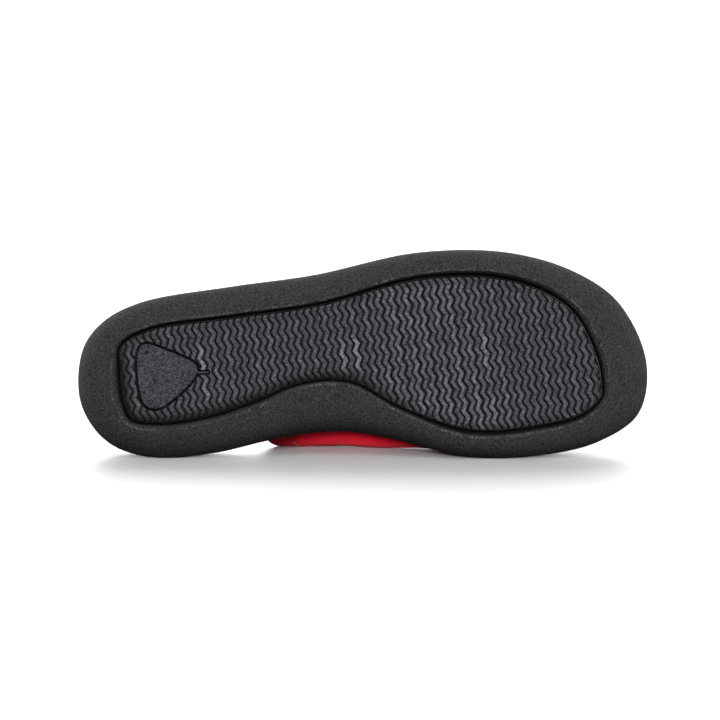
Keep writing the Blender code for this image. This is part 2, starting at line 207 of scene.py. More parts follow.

# Wear of the ridges, and the painted highlights and painted shade on them
BALL_ZONE = (125.0, 150.0, 175.0, 200.0)     # ridges are rubbed more between the middle two
WORN_RIDGES = (0.16, 0.34)    # how rubbed the lower and the higher ridges are
WORN_BALL = 0.34
# paleness painted on the ridges' outer ends as a highlight
END_HIGHLIGHT = 0.22
RUB_FADE = 2.0
TOP_FADE = (0.06, 0.45)       # depths over which the rubbed tops end
CREST_FADE = (0.05, 1.25)     # distances from a ridge's middle over which its wear and painted highlight end
RUB_CREST = (0.5, 1.1)
GROOVE_FADE = (0.45, 1.1)     # depths over which painted shade turns the grooves black
END_FADE = (0.1, 0.7)         # distances from the border over which the ridges' ends round down
SUNK_SHADE = (0.1, 0.6)       # sinking of the border rib over which painted shade falls on the ridges beside it
SHELTER = (0.6, 0.8)          # sinking over which the ridges' ends get more painted shade and no painted highlight
SHADES = (0.3, 0.25, 0.35)    # painted shade along the border, more of it by the sinking, more of it by the shelter
SHADE_ENDS = (0.3, 3.2, 2.3)  # from where to where the painted shade fades, and how much further under shelter

# The mounts' places in the shoe's frame
MOUNT_PLACES = {"tread_heel": (62.0, -3.0), "tread_ball": (160.0, 6.0)}

Station = namedtuple("Station", "x y flange widest cup border sunk fullness inward_x inward_y")


def size_setting(label, words, default):
    return FloatProperty(name=label, description=words, default=default, unit="LENGTH")


def colour_setting(label, words, default):
    return FloatVectorProperty(name=label, description=words, default=default, subtype="COLOR", size=3, min=0.0,
                               max=1.0)


def light_setting(label, words, default):
    return FloatProperty(name=label, description=words, default=default)


class SlipperTread(bpy.types.PropertyGroup):
    """Sizes of the tread"""

    pitch: size_setting("Ridge pitch", "From ridge to ridge along the sole", 0.003165)
    groove: size_setting("Groove", "Width of the groove between ridges at the top", 0.00062)
    depth: size_setting("Groove depth", "Depth of the groove between ridges", 0.0013)
    wave: size_setting("Zigzag length", "Length of one zigzag across the sole", 0.0067)
    swing: size_setting("Zigzag swing", "How far the zigzag swings to each side", 0.00092)
    lowered: size_setting("Lower ridges", "How much lower every second ridge is", 0.00015)
    paired: size_setting("Pairing", "How far every second ridge is moved to its pair at the ball", 0.00018)
    rib: size_setting("Border rib", "Width of the rib round the tread", 0.0006)
    margin: size_setting("Ridge ends", "From the side of the pad to the ends of the ridges", 0.0008)
    moulded_gap: size_setting("Triangle groove", "Width of the groove round the heel triangle", 0.0012)


class SlipperVamp(bpy.types.PropertyGroup):
    """Sizes of the vamp and its topline band"""

    wall: size_setting("Wall", "Thickness of the vamp with its lining", 0.0024)
    folds: FloatProperty(name="Folds", description="Depth of the soft folds, 1 as drawn", default=1.0,
                         subtype="FACTOR", min=0.0, max=2.0)
    band: size_setting("Band width", "Width of the topline band on the outside", 0.0122)
    band_inside: size_setting("Band inside", "Width of the band that is turned in", 0.009)
    band_proud: size_setting("Band thickness", "How far the band stands proud of the vamp", 0.0006)
    stitch: size_setting("Stitch", "Length of a stitch", 0.0025)
    stitch_pitch: size_setting("Stitch pitch", "From stitch to stitch", 0.0033)
    thread: size_setting("Thread", "Thickness of the sewing thread", 0.00042)


class SlipperFinishes(bpy.types.PropertyGroup):
    """Colours of the slipper"""

    foam: colour_setting("Foam", "Black moulded foam of the sole", (0.0305, 0.0302, 0.0323))
    rubber: colour_setting("Rubber", "Black rubber of the tread", (0.0335, 0.0323, 0.0393))
    # the rubbed colour also paints the highlights on the ridges and the border rib
    rubbed: colour_setting("Rubbed rubber", "Rubber where it is rubbed pale", (0.20, 0.197, 0.225))
    footbed: colour_setting("Footbed cloth", "Charcoal cloth on the footbed", (0.045, 0.043, 0.046))
    red: colour_setting("Vamp red", "Bright red cloth of the vamp", (0.62, 0.0085, 0.0245))
    band: colour_setting("Band red", "Darker red of the topline band", (0.47, 0.0042, 0.0145))
    lining: colour_setting("Lining", "Soft lining inside the vamp", (0.060, 0.056, 0.060))
    thread: colour_setting("Thread", "Sewing thread", (0.30, 0.005, 0.013))


class SlipperStage(bpy.types.PropertyGroup):
    """Camera and light"""

    lens: FloatProperty(name="Lens", description="Focal length of the camera", default=500.0, unit="CAMERA")
    elevation: FloatProperty(name="Elevation", description="Height of the camera above the horizon",
                             default=math.radians(7.0), subtype="ANGLE")
    width: size_setting("Picture width", "Width of the picture at the sole", 0.3231)
    room: light_setting("Room light", "Light that comes evenly from the white room", 0.38)
    panel: light_setting("Back light", "Soft light from above and behind", 2.3)
    front: light_setting("Front light", "Soft light from the upper front", 2.85)
    overhead: light_setting("Floor light", "Light on the floor from above", 3.6)
    side: light_setting("Side light", "Soft light on the heel end of the sole, half of it on the toe end", 3.6)
    low: light_setting("Low light", "Light under the arch from just above the floor in front", 6.2)


# Shape of the last

def hermite(start, end, slope_start, slope_end, t):
    """Cubic from a start to an end with given slopes there."""
    return (start * (2 * t**3 - 3 * t**2 + 1) + slope_start * (t**3 - 2 * t**2 + t)
            + end * (3 * t**2 - 2 * t**3) + slope_end * (t**3 - t**2))


def read_table(rows, key, column, at):
    """Values of a column where the key column reads `at`, on a smooth curve that never overshoots."""
    keys, values = (np.array([getattr(row, name) for row in rows]) for name in (key, column))
    at = np.clip(at, keys[0], keys[-1])
    steps = np.diff(keys)
    rises = np.diff(values) / steps
    slopes = np.zeros(len(keys))
    slopes[[0, -1]] = rises[[0, -1]]
    for row in range(1, len(keys) - 1):
        if rises[row - 1] * rises[row] > 0:
            slopes[row] = 2.0 / (1.0 / rises[row - 1] + 1.0 / rises[row])
    span = np.clip(np.searchsorted(keys, at, side="right") - 1, 0, len(steps) - 1)
    step = steps[span]
    return hermite(values[span], values[span + 1], slopes[span] * step, slopes[span + 1] * step,
                   (at - keys[span]) / step)


def level(x, column):
    """Height of one of the level lines along the sole."""
    return read_table(LEVELS, "x", column, x)


def smooth_step(start, end, at):
    """0 before the start, 1 after the end, and a soft rise between them."""
    t = np.clip((at - start) / (end - start), 0.0, 1.0)
    return t * t * (3.0 - 2.0 * t)


def smooth_drop(start, end, at):
    """1 before the start and 0 after the end."""
    return 1.0 - smooth_step(start, end, at)


def plateau(zone, at):
    """1 between the middle two of four places, falling softly to 0 at the outer two."""
    return smooth_step(*zone[:2], at) - smooth_step(*zone[2:], at)


def quarter(count):
    """Angles of a quarter turn."""
    return np.linspace(0.0, 0.5 * math.pi, count)


def in_mm(sizes, *names):
    """Settings in millimetres."""
    return [getattr(sizes, name) / MM for name in names]


def closed_curve(table, steps):
    """Closed centripetal curve through the rows of a table, whose first two columns are x and y."""
    t = (np.arange(steps) / steps)[:, None]
    spans = []
    for row in range(len(table)):
        before, start, end, after = (table[(row + shift) % len(table)] for shift in (-1, 0, 1, 2))
        knot_a, knot_b, knot_c = (math.sqrt(np.hypot(*(q - p)[:2]))
                                  for p, q in ((before, start), (start, end), (end, after)))
        slope_start = knot_b * ((start - before) / knot_a - (end - before) / (knot_a + knot_b)
                                + (end - start) / knot_b)
        slope_end = knot_b * ((end - start) / knot_b - (after - start) / (knot_b + knot_c)
                              + (after - end) / knot_c)
        spans.append(hermite(start, end, slope_start, slope_end, t))
    return np.vstack(spans)


def inward_of(outline):
    """Directions square to a closed outline, pointing to its left."""
    tangents = np.roll(outline, -1, axis=0)[:, :2] - np.roll(outline, 1, axis=0)[:, :2]
    tangents /= np.hypot(tangents[:, 0], tangents[:, 1])[:, None]
    return np.column_stack((-tangents[:, 1], tangents[:, 0]))


def half_outline(inner):
    """The dense curve of one side, from the toe tip to the heel back, with its length so far."""
    dense = closed_curve(np.array([row[1:] for row in OUTLINE]), DENSE_STEPS)
    square = inward_of(dense)
    inward = sum(np.roll(square, shift, axis=0) for shift in range(-FAN_SPREAD, FAN_SPREAD + 1))
    full = np.hstack((dense, inward))
    toe = TOE_TIP_ROW * DENSE_STEPS
    half = np.vstack((full[toe:], full[:1])) if inner else full[toe::-1]
    lengths = np.hypot(*np.diff(half[:, :2], axis=0).T)
    return half, np.concatenate(([0.0], np.cumsum(lengths)))


HALVES = {inner: half_outline(inner) for inner in (False, True)}


def station_at(inner, distance):
    """Stations of one side at distances from the toe tip, measured along the edge."""
    half, lengths = HALVES[inner]
    values = [np.interp(distance, lengths, half[:, column]) for column in range(half.shape[1])]
    norm = np.hypot(values[-2], values[-1])
    return Station(*values[:-2], values[-2] / norm, values[-1] / norm)


def sole_stations():
    """Stations all round the sole from the heel back: outer side to the toe, inner side home."""
    outer, inner = (station_at(side, np.linspace(0.0, HALVES[side][1][-1], SOLE_HALF + 1))
                    for side in (False, True))
    return Station(*(np.concatenate((a[:0:-1], b[:-1])) for a, b in zip(outer, inner)))


def inset(station, distance):
    """Plan points that lie inside the edge by a distance."""
    return station.x + station.inward_x * distance, station.y + station.inward_y * distance


def edge_ring(station, distance, column, rise):
    """Points inside the edge by a distance, with a height above one of the level lines."""
    x, y = inset(station, distance)
    return np.stack((x, y, level(x, column) + rise), axis=-1)


def rim_outside(station):
    """How far the rim lies inside the edge of the sole, because the side wall leans in."""
    fullest = level(station.x, "ground") + station.widest
    return WALL_SLOPE * (level(station.x, "rim") - fullest)


def tray_wall(station):
    """How far the wall of the tray lies inside the edge of the sole."""
    return rim_outside(station) + RIM_WIDTH


# How the shoe lies in the scene

FLOOR_SOFT = 0.3          # soft parts are pressed flat where they come nearer the floor than this


def axes_of(along, up):
    """Turn whose x axis lies along a direction and whose z axis points up."""
    along = along.normalized()
    return Matrix((along, up.cross(along), up)).transposed()


def lying_matrix():
    """From the shoe's frame to the scene, read off the two mounts on the tread."""
    mounts = {mount["name"]: mount for mount in frame["record"]["mounts"]}
    places = [Vector(mounts[name]["pos_m"]) for name in MOUNT_PLACES]
    own = [Vector((*point, 0.0)) * MM for point in MOUNT_PLACES.values()]
    up = -Vector(mounts["tread_heel"]["axis"]).normalized()
    turn = axes_of(places[1] - places[0], up) @ axes_of(own[1] - own[0], Vector((0.0, 0.0, 1.0))).transposed()
    return Matrix.Translation(places[0] - turn @ own[0]) @ turn.to_4x4()


SHOE = lying_matrix()
SHOE_TURN = np.array(SHOE.to_3x3())
SHOE_PLACE = np.array(SHOE.translation)


def lay(points):
    """Shoe points in millimetres to the scene's metres."""
    return np.asarray(points) * MM @ SHOE_TURN.T + SHOE_PLACE


def rest_on_floor(points):
    """Shoe points whose parts that would sink into the floor are pressed flat on it."""
    soft = FLOOR_SOFT * MM
    placed = lay(points)
    height = placed[..., 2]
    placed[..., 2] = np.where(height < soft, soft * np.exp(np.minimum(height / soft, 1.0) - 1.0), height)
    return (placed - SHOE_PLACE) @ SHOE_TURN / MM


# Mesh tools

def bend_grid(body, points, layers=None, uv=None):
    """Adds a grid that is bent onto a table of shoe points, rows by columns by three."""
    rows, columns = points.shape[:2]
    made = bmesh.ops.create_grid(body, x_segments=columns - 1, y_segments=rows - 1, size=1.0)["verts"]
    if len(made) != rows * columns:
        raise RuntimeError(f"grid of {len(made)} points for a table of {rows * columns}")
    for vert, place in zip(made, points.reshape(-1, 3)):
        vert.co = place
    for name, values in (layers or {}).items():
        layer = body.verts.layers.float[name]
        for vert, value in zip(made, np.broadcast_to(values, (rows, columns)).ravel()):
            vert[layer] = value
    if uv is not None:
        layer = body.loops.layers.uv["surface"]
        spot = dict(zip(made, uv.reshape(-1, 2)))
        for vert in made:
            for loop in vert.link_loops:
                loop[layer].uv = spot[vert]


def new_body(*layers):
    """Empty body with a cloth map and named values on its points."""
    body = bmesh.new()
    for name in layers:
        body.verts.layers.float.new(name)
    body.loops.layers.uv.new("surface")
    return body


def closed_ring(rings):
    """Rings with their first column repeated, so that the grid closes."""
    return np.concatenate((rings, rings[:, :1]), axis=1)


def cross_sheet(ring, columns):
    """Sheet across a closed ring of the sole, in strips from its outer to its inner side."""
    half = len(ring) // 2
    pairs = np.arange(half + 1)
    outer, inner = ring[pairs], ring[(len(ring) - pairs) % len(ring)]
    t = 0.5 - 0.5 * np.cos(np.linspace(0.0, math.pi, columns))
    return outer[:, None] * (1.0 - t)[None, :, None] + inner[:, None] * t[None, :, None]


def weld(body):
    """Joins points that fall together, and takes out what shrinks to nothing."""
    bmesh.ops.remove_doubles(body, verts=body.verts, dist=WELD_DISTANCE)
    bmesh.ops.dissolve_degenerate(body, edges=body.edges, dist=WELD_DISTANCE)


def write_layer(body, name, values):
    """Writes a value to each point of a body."""
    layer = body.verts.layers.float.new(name)
    for vert, value in zip(body.verts, values):
        vert[layer] = value


def lay_body(body, bend=False):
    """Moves a body from the shoe's frame to the scene; bend lifts a flat tread onto the ground line first."""
    points = np.array([vert.co for vert in body.verts])
    if bend:
        points[:, 2] += level(points[:, 0], "ground")
    for vert, place in zip(body.verts, lay(points)):
        vert.co = place


def lay_shell(body):
    """Closes the grids of a shell, faces it outwards and lays it in the scene."""
    weld(body)
    bmesh.ops.recalc_face_normals(body, faces=body.faces)
    lay_body(body)


def lay_cloth(body):
    """Faces an open cloth outwards, so that its highest part looks up, and lays it in the scene."""
    bmesh.ops.recalc_face_normals(body, faces=body.faces)
    top = max(body.faces, key=lambda face: face.calc_center_median().z)
    if top.normal.z < 0.0:
        bmesh.ops.reverse_faces(body, faces=body.faces)
    lay_body(body)


def carve(body, tool, operation):
    """A body joined with a tool by a Boolean; both are used up."""
    helpers = []
    for one in (body, tool):
        mesh = bpy.data.meshes.new("carving")
        one.to_mesh(mesh)
        one.free()
        helpers.append(bpy.data.objects.new("carving", mesh))
        bpy.context.scene.collection.objects.link(helpers[-1])
    boolean = helpers[0].modifiers.new("carve", "BOOLEAN")
    boolean.operation = operation
    boolean.solver = "EXACT"
    boolean.object = helpers[1]
    carved = bmesh.new()
    carved.from_object(helpers[0], bpy.context.evaluated_depsgraph_get())
    for helper in helpers:
        bpy.data.meshes.remove(helper.data)
    if not carved.faces:
        raise RuntimeError("the carving left nothing")
    return carved


def prism(outline, low, high):
    """Upright solid on a closed plan outline."""
    body = bmesh.new()
    made = bmesh.ops.create_circle(body, cap_ends=True, segments=len(outline), radius=1.0)["verts"]
    for vert, (x, y) in zip(made, outline):
        vert.co = (x, y, low)
    raised = bmesh.ops.extrude_face_region(body, geom=body.faces[:])["geom"]
    bmesh.ops.translate(body, vec=(0.0, 0.0, high - low),
                        verts=[item for item in raised if isinstance(item, bmesh.types.BMVert)])
    bmesh.ops.recalc_face_normals(body, faces=body.faces)
    return body


def cutter(outline):
    """Prism that reaches right through the tread."""
    return prism(outline, *CUTTER_REACH)


def round_plug(plug):
    """Upright round plug."""
    turns = np.linspace(0.0, 2.0 * math.pi, PLUG_SIDES, endpoint=False)
    circle = np.stack((plug.x + plug.radius * np.cos(turns), plug.y + plug.radius * np.sin(turns)), axis=-1)
    return prism(circle, plug.low, plug.high)


def add_piece(name, body, materials, node=None, sharp=35.0):
    """Makes a body a piece that rides on the shoe and may stand for a node; sharp is the angle of hard edges."""
    mesh = bpy.data.meshes.new(name)
    body.to_mesh(mesh)
    body.free()
    for material in materials:
        mesh.materials.append(material)
    mesh.shade_smooth()
    mesh.set_sharp_from_angle(angle=math.radians(sharp))
    piece = bpy.data.objects.new(name, mesh)
    bpy.context.scene.collection.objects.link(piece)
    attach(piece, BODY)
    if node:
        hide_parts(node)
    return piece


# Finishes

BLACK = (0.0, 0.0, 0.0)


def add_node(tree, kind, sockets=None, **settings):
    """Adds a shader node; sockets are given values or linked to other nodes' outputs."""
    made = tree.nodes.new("ShaderNode" + kind)
    for name, value in settings.items():
        setattr(made, name, value)
    for key, value in (sockets or {}).items():
        if isinstance(value, bpy.types.NodeSocket):
            tree.links.new(value, made.inputs[key])
        else:
            made.inputs[key].default_value = value
    return made


def arith(tree, operation, first, second=0.5):
    return add_node(tree, "Math", {0: first, 1: second}, operation=operation).outputs[0]


def times(tree, first, second):
    return arith(tree, "MULTIPLY", first, second)


def noise(tree, place, scale, detail, **more):
    sockets = {"Vector": place, "Scale": scale, "Detail": detail, **more}
    return add_node(tree, "TexNoise", sockets).outputs[0]


def spread(tree, value, low, high, to_low=0.0, to_high=1.0):
    """Stretches the part of a value from low to high over another range."""
    return add_node(tree, "MapRange", {"Value": value, "From Min": low, "From Max": high, "To Min": to_low,
                                       "To Max": to_high}).outputs[0]


def blend(tree, colour, *layers):
    """Colour with others laid over it, each given as its share and its colour."""
    for share, over in layers:
        ends = [end if isinstance(end, bpy.types.NodeSocket) else (*end, 1.0) for end in (colour, over)]
        colour = add_node(tree, "Mix", {0: share, 6: ends[0], 7: ends[1]}, data_type="RGBA").outputs[2]
    return colour


def shade_of(colour, share):
    """Darker or paler shade of a colour."""
    return tuple(min(channel * share, 1.0) for channel in colour)


def fill_grain(group, given, made):
    """Fine moulded grain: bumps and speckle about Size metres across."""
    place = given["Vector"]
    scale = arith(group, "DIVIDE", 1.0, given["Size"])
    fine = noise(group, place, scale, 2.0, Roughness=0.6)
    cells = add_node(group, "TexVoronoi", {"Vector": place, "Scale": times(group, scale, 1.3)})
    pits = spread(group, cells.outputs[0], 0.0, 0.7)
    height = arith(group, "ADD", times(group, fine, 0.65), times(group, pits, 0.35))
    speckle = noise(group, place, times(group, scale, 0.8), 4.0, Roughness=0.8)
    group.links.new(spread(group, height, 0.28, 0.72), made["Height"])
    group.links.new(spread(group, speckle, 0.35, 0.65), made["Speckle"])


def fill_scuffs(group, given, made):
    """Rubbed patches: a mask that covers more as Cover goes up."""
    scale = arith(group, "DIVIDE", 1.0, given["Size"])
    patches = noise(group, given["Vector"], scale, 5.0, Roughness=0.65, Distortion=0.4)
    above = arith(group, "ADD", patches, arith(group, "SUBTRACT", given["Cover"], 1.0))
    group.links.new(spread(group, above, 0.0, 0.25), made["Mask"])


def fill_weave(group, given, made):
    """Woven cloth: threads over and under each other, Across and Along metres apart."""
    parts = add_node(group, "SeparateXYZ", {0: given["Vector"]})
    waves = []
    for axis, socket in (("X", "Across"), ("Y", "Along")):
        turns = arith(group, "DIVIDE", parts.outputs[axis], given[socket])
        waves.append(arith(group, "SINE", times(group, turns, 2.0 * math.pi)))
    crossing = spread(group, times(group, *waves), -1.0, 1.0)
    slubs = noise(group, given["Vector"], 900.0, 2.0)
    group.links.new(arith(group, "ADD", crossing, times(group, slubs, 0.5)), made["Height"])
    shade = arith(group, "ADD", times(group, crossing, 0.5), slubs)
    group.links.new(spread(group, shade, 0.3, 1.2), made["Shade"])


GROUPS = {
    "fine_grain": (fill_grain, ("Vector", "Size"), ("Height", "Speckle")),
    "scuffs": (fill_scuffs, ("Vector", "Size", "Cover"), ("Mask",)),
    "weave": (fill_weave, ("Vector", "Across", "Along"), ("Height", "Shade")),
}


def use_group(tree, name, **sockets):
    """Places a shared node group, which is built when it is first used, and returns its outputs."""
    if name not in bpy.data.node_groups:
        fill, inputs, outputs = GROUPS[name]
        group = bpy.data.node_groups.new(name, "ShaderNodeTree")
        for labels, way in ((inputs, "INPUT"), (outputs, "OUTPUT")):
            for label in labels:
                kind = "NodeSocketVector" if label == "Vector" else "NodeSocketFloat"
                group.interface.new_socket(name=label, in_out=way, socket_type=kind)
        fill(group, group.nodes.new("NodeGroupInput").outputs, group.nodes.new("NodeGroupOutput").inputs)
    return add_node(tree, "Group", sockets, node_tree=bpy.data.node_groups[name]).outputs


def new_material(name, **sockets):
    """Material with a Principled shader whose plain values are set; returns it, its nodes and the shader."""
    material = bpy.data.materials.new(name)
    material.use_nodes = True
    shader = material.node_tree.nodes["Principled BSDF"]
    for key, value in sockets.items():
        shader.inputs[key.replace("_", " ")].default_value = value
    return material, material.node_tree, shader


def finish(tree, shader, colour, rough, normal):
    """Links a colour, a roughness and a normal that change over the surface."""
    for name, value in (("Base Color", colour), ("Roughness", rough), ("Normal", normal)):
        tree.links.new(value, shader.inputs[name])


def bump(tree, height, distance, strength=1.0, under=None):
    sockets = {"Height": height, "Distance": distance, "Strength": strength}
    if under is not None:
        sockets["Normal"] = under
    return add_node(tree, "Bump", sockets).outputs["Normal"]


def object_place(tree):
    return add_node(tree, "TexCoord").outputs["Object"]


def own_value(tree, name):
    return add_node(tree, "Attribute", attribute_name=name).outputs["Fac"]


def foam_material(colours):
    """Matte black foam: fine grain, pale specks, a painted highlight along the lip and painted shade in the moat.
    """
    material, tree, shader = new_material("black_foam", Specular_IOR_Level=0.06)
    place = object_place(tree)
    grain = use_group(tree, "fine_grain", Vector=place, Size=0.00065)
    coarse = use_group(tree, "fine_grain", Vector=place, Size=0.006)
    scuffs = use_group(tree, "scuffs", Vector=place, Size=0.014, Cover=0.36)
    deep = own_value(tree, "deep")
    flecks = times(tree, spread(tree, grain["Speckle"], 0.35, 0.9), spread(tree, coarse["Speckle"], 0.2, 0.65))
    base = tuple(colours.foam)
    # The lip's pale flecks are a painted highlight, and the black laid over last is painted shade
    colour = blend(tree, shade_of(base, 0.25), (grain["Speckle"], shade_of(base, 2.0)),
                   (times(tree, coarse["Speckle"], 0.12), shade_of(base, 1.55)),
                   (times(tree, scuffs["Mask"], 0.25), shade_of(base, 2.2)),
                   (times(tree, own_value(tree, "lip"), flecks), shade_of(base, 4.0)),
                   (times(tree, deep, 0.85), BLACK))
    rough = arith(tree, "MAXIMUM", spread(tree, grain["Speckle"], 0.0, 1.0, 0.78, 0.56), deep)
    finish(tree, shader, colour, rough, bump(tree, grain["Height"], 0.00024))
    return material


def rubber_material(colours, name, grain_size, grain_depth, low, high):
    """Satin black rubber: paler where it is rubbed and where a highlight is painted, black where shade is painted.
    """
    material, tree, shader = new_material(name, Specular_IOR_Level=0.26)
    place = object_place(tree)
    grain = use_group(tree, "fine_grain", Vector=place, Size=grain_size)
    patches = use_group(tree, "fine_grain", Vector=place, Size=0.0045)
    scuffs = use_group(tree, "scuffs", Vector=place, Size=0.0035, Cover=0.52)
    worn = own_value(tree, "worn")
    deep = own_value(tree, "deep")
    uneven = times(tree, spread(tree, grain["Speckle"], 0.15, 0.85, 0.05, 1.5),
                   spread(tree, patches["Speckle"], 0.2, 0.8, 0.4, 1.4))
    base = tuple(colours.rubber)
    # the black laid over last is painted shade, and the rubbed paleness is partly a painted highlight
    colour = blend(tree, shade_of(base, low), (grain["Speckle"], shade_of(base, high)),
                   (times(tree, worn, uneven), tuple(colours.rubbed)),
                   (times(tree, scuffs["Mask"], 0.25), shade_of(base, 2.8)),
                   (times(tree, deep, spread(tree, patches["Speckle"], 0.0, 1.0, 0.75, 1.0)), BLACK))
    rough = arith(tree, "MAXIMUM", spread(tree, worn, 0.0, 1.0, 0.50, 0.64), deep)
    finish(tree, shader, colour, rough, bump(tree, grain["Height"], grain_depth))
    return material


def cloth_material(name, base, across, along, depth, rough, sheen, specular, mottle=0.25):
    """Woven cloth with thread relief, soft mottling and a little sheen."""
    base = tuple(base)
    material, tree, shader = new_material(name, Sheen_Weight=sheen, Sheen_Roughness=0.35,
                                          Specular_IOR_Level=specular)
    shader.inputs["Sheen Tint"].default_value = (*(min(1.0, 0.35 + channel) for channel in base), 1.0)
    surface = add_node(tree, "UVMap", uv_map="surface").outputs["UV"]
    weave = use_group(tree, "weave", Vector=surface, Across=across, Along=along)
    blotch = use_group(tree, "fine_grain", Vector=object_place(tree), Size=0.007)
    colour = blend(tree, shade_of(base, 0.66), (weave["Shade"], shade_of(base, 1.24)),
                   (times(tree, blotch["Speckle"], mottle), shade_of(base, 0.78)))
    wrinkle = bump(tree, blotch["Height"], 0.00025, 0.6)
    finish(tree, shader, colour, spread(tree, weave["Shade"], 0.0, 1.0, rough + 0.08, rough - 0.06),
           bump(tree, weave["Height"], depth, 1.0, wrinkle))
    return material


def thread_material(colours):
    """Twisted sewing thread."""
    material, tree, shader = new_material("thread", Sheen_Weight=0.3, Specular_IOR_Level=0.4)
    twist = add_node(tree, "TexWave", {"Vector": object_place(tree), "Scale": 900.0, "Distortion": 1.5})
    twist = twist.outputs["Fac"]
    base = tuple(colours.thread)
    finish(tree, shader, blend(tree, shade_of(base, 0.7), (twist, shade_of(base, 1.15))),
           spread(tree, twist, 0.0, 1.0, 0.62, 0.48), bump(tree, twist, 0.00004))
    return material


# Sole

MOAT_SECTION = ((1.0, 3.0), (0.85, 2.3), (0.62, 1.6), (0.4, 1.05), (0.18, 0.7))   # share of the way, depth
DARK_MOAT = (*SUNK_SHADE, *SHELTER)   # painted shade blackens the moat most where the rib is sunk by the middle two
MOAT_BLACK = (0.6, 2.0)   # depths over which painted shade turns the moat black
MOAT_SOONER = (0.3, 0.9)  # how much less depth that takes where the moat is blackest
LIP_BEAD = 0.06           # the flange lies this far above the bead along its inner lip
BEAD_FADE = (0.5, 1.3)    # distances from the lip
# distances from the lip over which its painted highlight fades
LIP_FADE = (0.4, 0.85)
LIP_TURNS = (0.0, 0.012, 0.026)
FLANGE_STEPS = 30
WALL_STEPS = 12
PARTING_LINE = (0.02, 0.04)        # groove of the mould's parting, as shares of the side wall's height
PARTING_DEPTH = 0.12
PAD_CLEARANCE = 0.1       # from the wall of the well to the side of the tread pad


def flange_rings(stations):
    """Rings of the rounded flange from its lip's bead to the fullest line, with the painted lip highlight on each.
    """
    power = 2.0 / stations.fullness
    rings, lip = [], []
    for turn in np.concatenate((LIP_TURNS, quarter(FLANGE_STEPS + 1)[1:])):
        across = 1.0 - math.sin(turn) ** power
        up = 1.0 - max(math.cos(turn), 0.0) ** power
        inwards = (stations.flange - LIP_ROUND) * across
        from_lip = stations.flange - inwards
        bead = LIP_BEAD * smooth_step(*BEAD_FADE, from_lip)
        rings.append(edge_ring(stations, inwards, "ground", stations.widest * up + bead * (1.0 - up)))
        lip.append(smooth_drop(*LIP_FADE, from_lip))
    return rings, lip


def sole_rings(stations):
    """Rings from the floor of the tread well, round the flange and side wall, to the tray floor."""
    none = np.zeros(len(stations.x))
    rings = [edge_ring(stations, stations.flange + stations.border, "ground", WELL_DEPTH)]
    # The floor of the well is painted black as shade, and the moat turns black as it goes deeper
    lip, deep = [none], [none + 1.0]
    dark = plateau(DARK_MOAT, stations.sunk)
    for share, depth in MOAT_SECTION:
        inwards = LIP_ROUND + share * (stations.border - LIP_ROUND - PAD_CLEARANCE)
        rings.append(edge_ring(stations, stations.flange + inwards, "ground", depth))
        lip.append(none)
        deep.append(smooth_step(*(black - sooner * dark for black, sooner in zip(MOAT_BLACK, MOAT_SOONER)), depth))
    for turn in quarter(5)[:-1]:
        rings.append(edge_ring(stations, stations.flange + LIP_ROUND * math.cos(turn), "ground",
                               LIP_ROUND * (1.0 - math.sin(turn))))
        lip.append(none + math.sin(turn))
    flange, flange_lip = flange_rings(stations)
    rings += flange
    lip += flange_lip
    fullest = level(stations.x, "ground") + stations.widest
    top = level(stations.x, "rim") - RIM_ROUND
    lean = rim_outside(stations)
    for t in np.concatenate((PARTING_LINE, np.linspace(0.0, 1.0, WALL_STEPS + 1)[1:-1])):
        groove = PARTING_DEPTH if t == PARTING_LINE[0] else 0.0
        x, y = inset(stations, lean * (0.75 * t + 0.25 * t * t) + groove)
        rings.append(np.stack((x, y, fullest + (top - fullest) * t), axis=-1))
    for turn in quarter(8):
        rings.append(edge_ring(stations, lean + RIM_ROUND * (1.0 - math.cos(turn)), "rim",
                               -RIM_ROUND * (1.0 - math.sin(turn))))
    inside = tray_wall(stations)
    for turn in quarter(5):
        rings.append(edge_ring(stations, inside - RIM_INNER_ROUND * (1.0 - math.sin(turn)), "rim",
                               -RIM_INNER_ROUND * (1.0 - math.cos(turn))))
    rings.append(edge_ring(stations, inside, "tray", 0.0))
    lip += [none] * (len(rings) - len(lip))
    deep += [none] * (len(rings) - len(deep))
    return np.array(rings), np.array(lip), np.array(deep)


def ringed_body(rings, **layers):
    """Body of closed rings, with a sheet across its first and its last ring."""
    body = new_body(*layers)
    bend_grid(body, closed_ring(rings), {name: closed_ring(values) for name, values in layers.items()})
    for end in (rings[0], rings[-1]):
        # the sheets across the ends are painted black as shade
        bend_grid(body, cross_sheet(end, SHEET_COLUMNS), {"deep": 1.0})
    lay_shell(body)
    return body


class SLIPPER_OT_make_sole(bpy.types.Operator):
    """Makes the moulded foam sole with its flange, well, side wall, rim and tray"""

    bl_idname = "slipper.make_sole"
    bl_label = "Make sole"

    def execute(self, context):
        rings, lip, deep = sole_rings(sole_stations())
        foam = foam_material(context.scene.slipper_finishes)
        add_piece("sole_foam", ringed_body(rings, lip=lip, deep=deep), [foam], "foam_sole", 45.0)
        return {"FINISHED"}


# Tread

SEARCH_PARTS = 40         # the ridges' points are measured in this many lots, to save memory
TREAD_FLOOR = 1.6         # floor of the pad between its border rib and the ends of the ridges
SLAB_BACK = 2.0           # back of the ridges, let into the pad
CUTTER_REACH = (-4.0, 6.0)
RIB_ROOM = 0.7            # free space round the short rib at the triangle's point
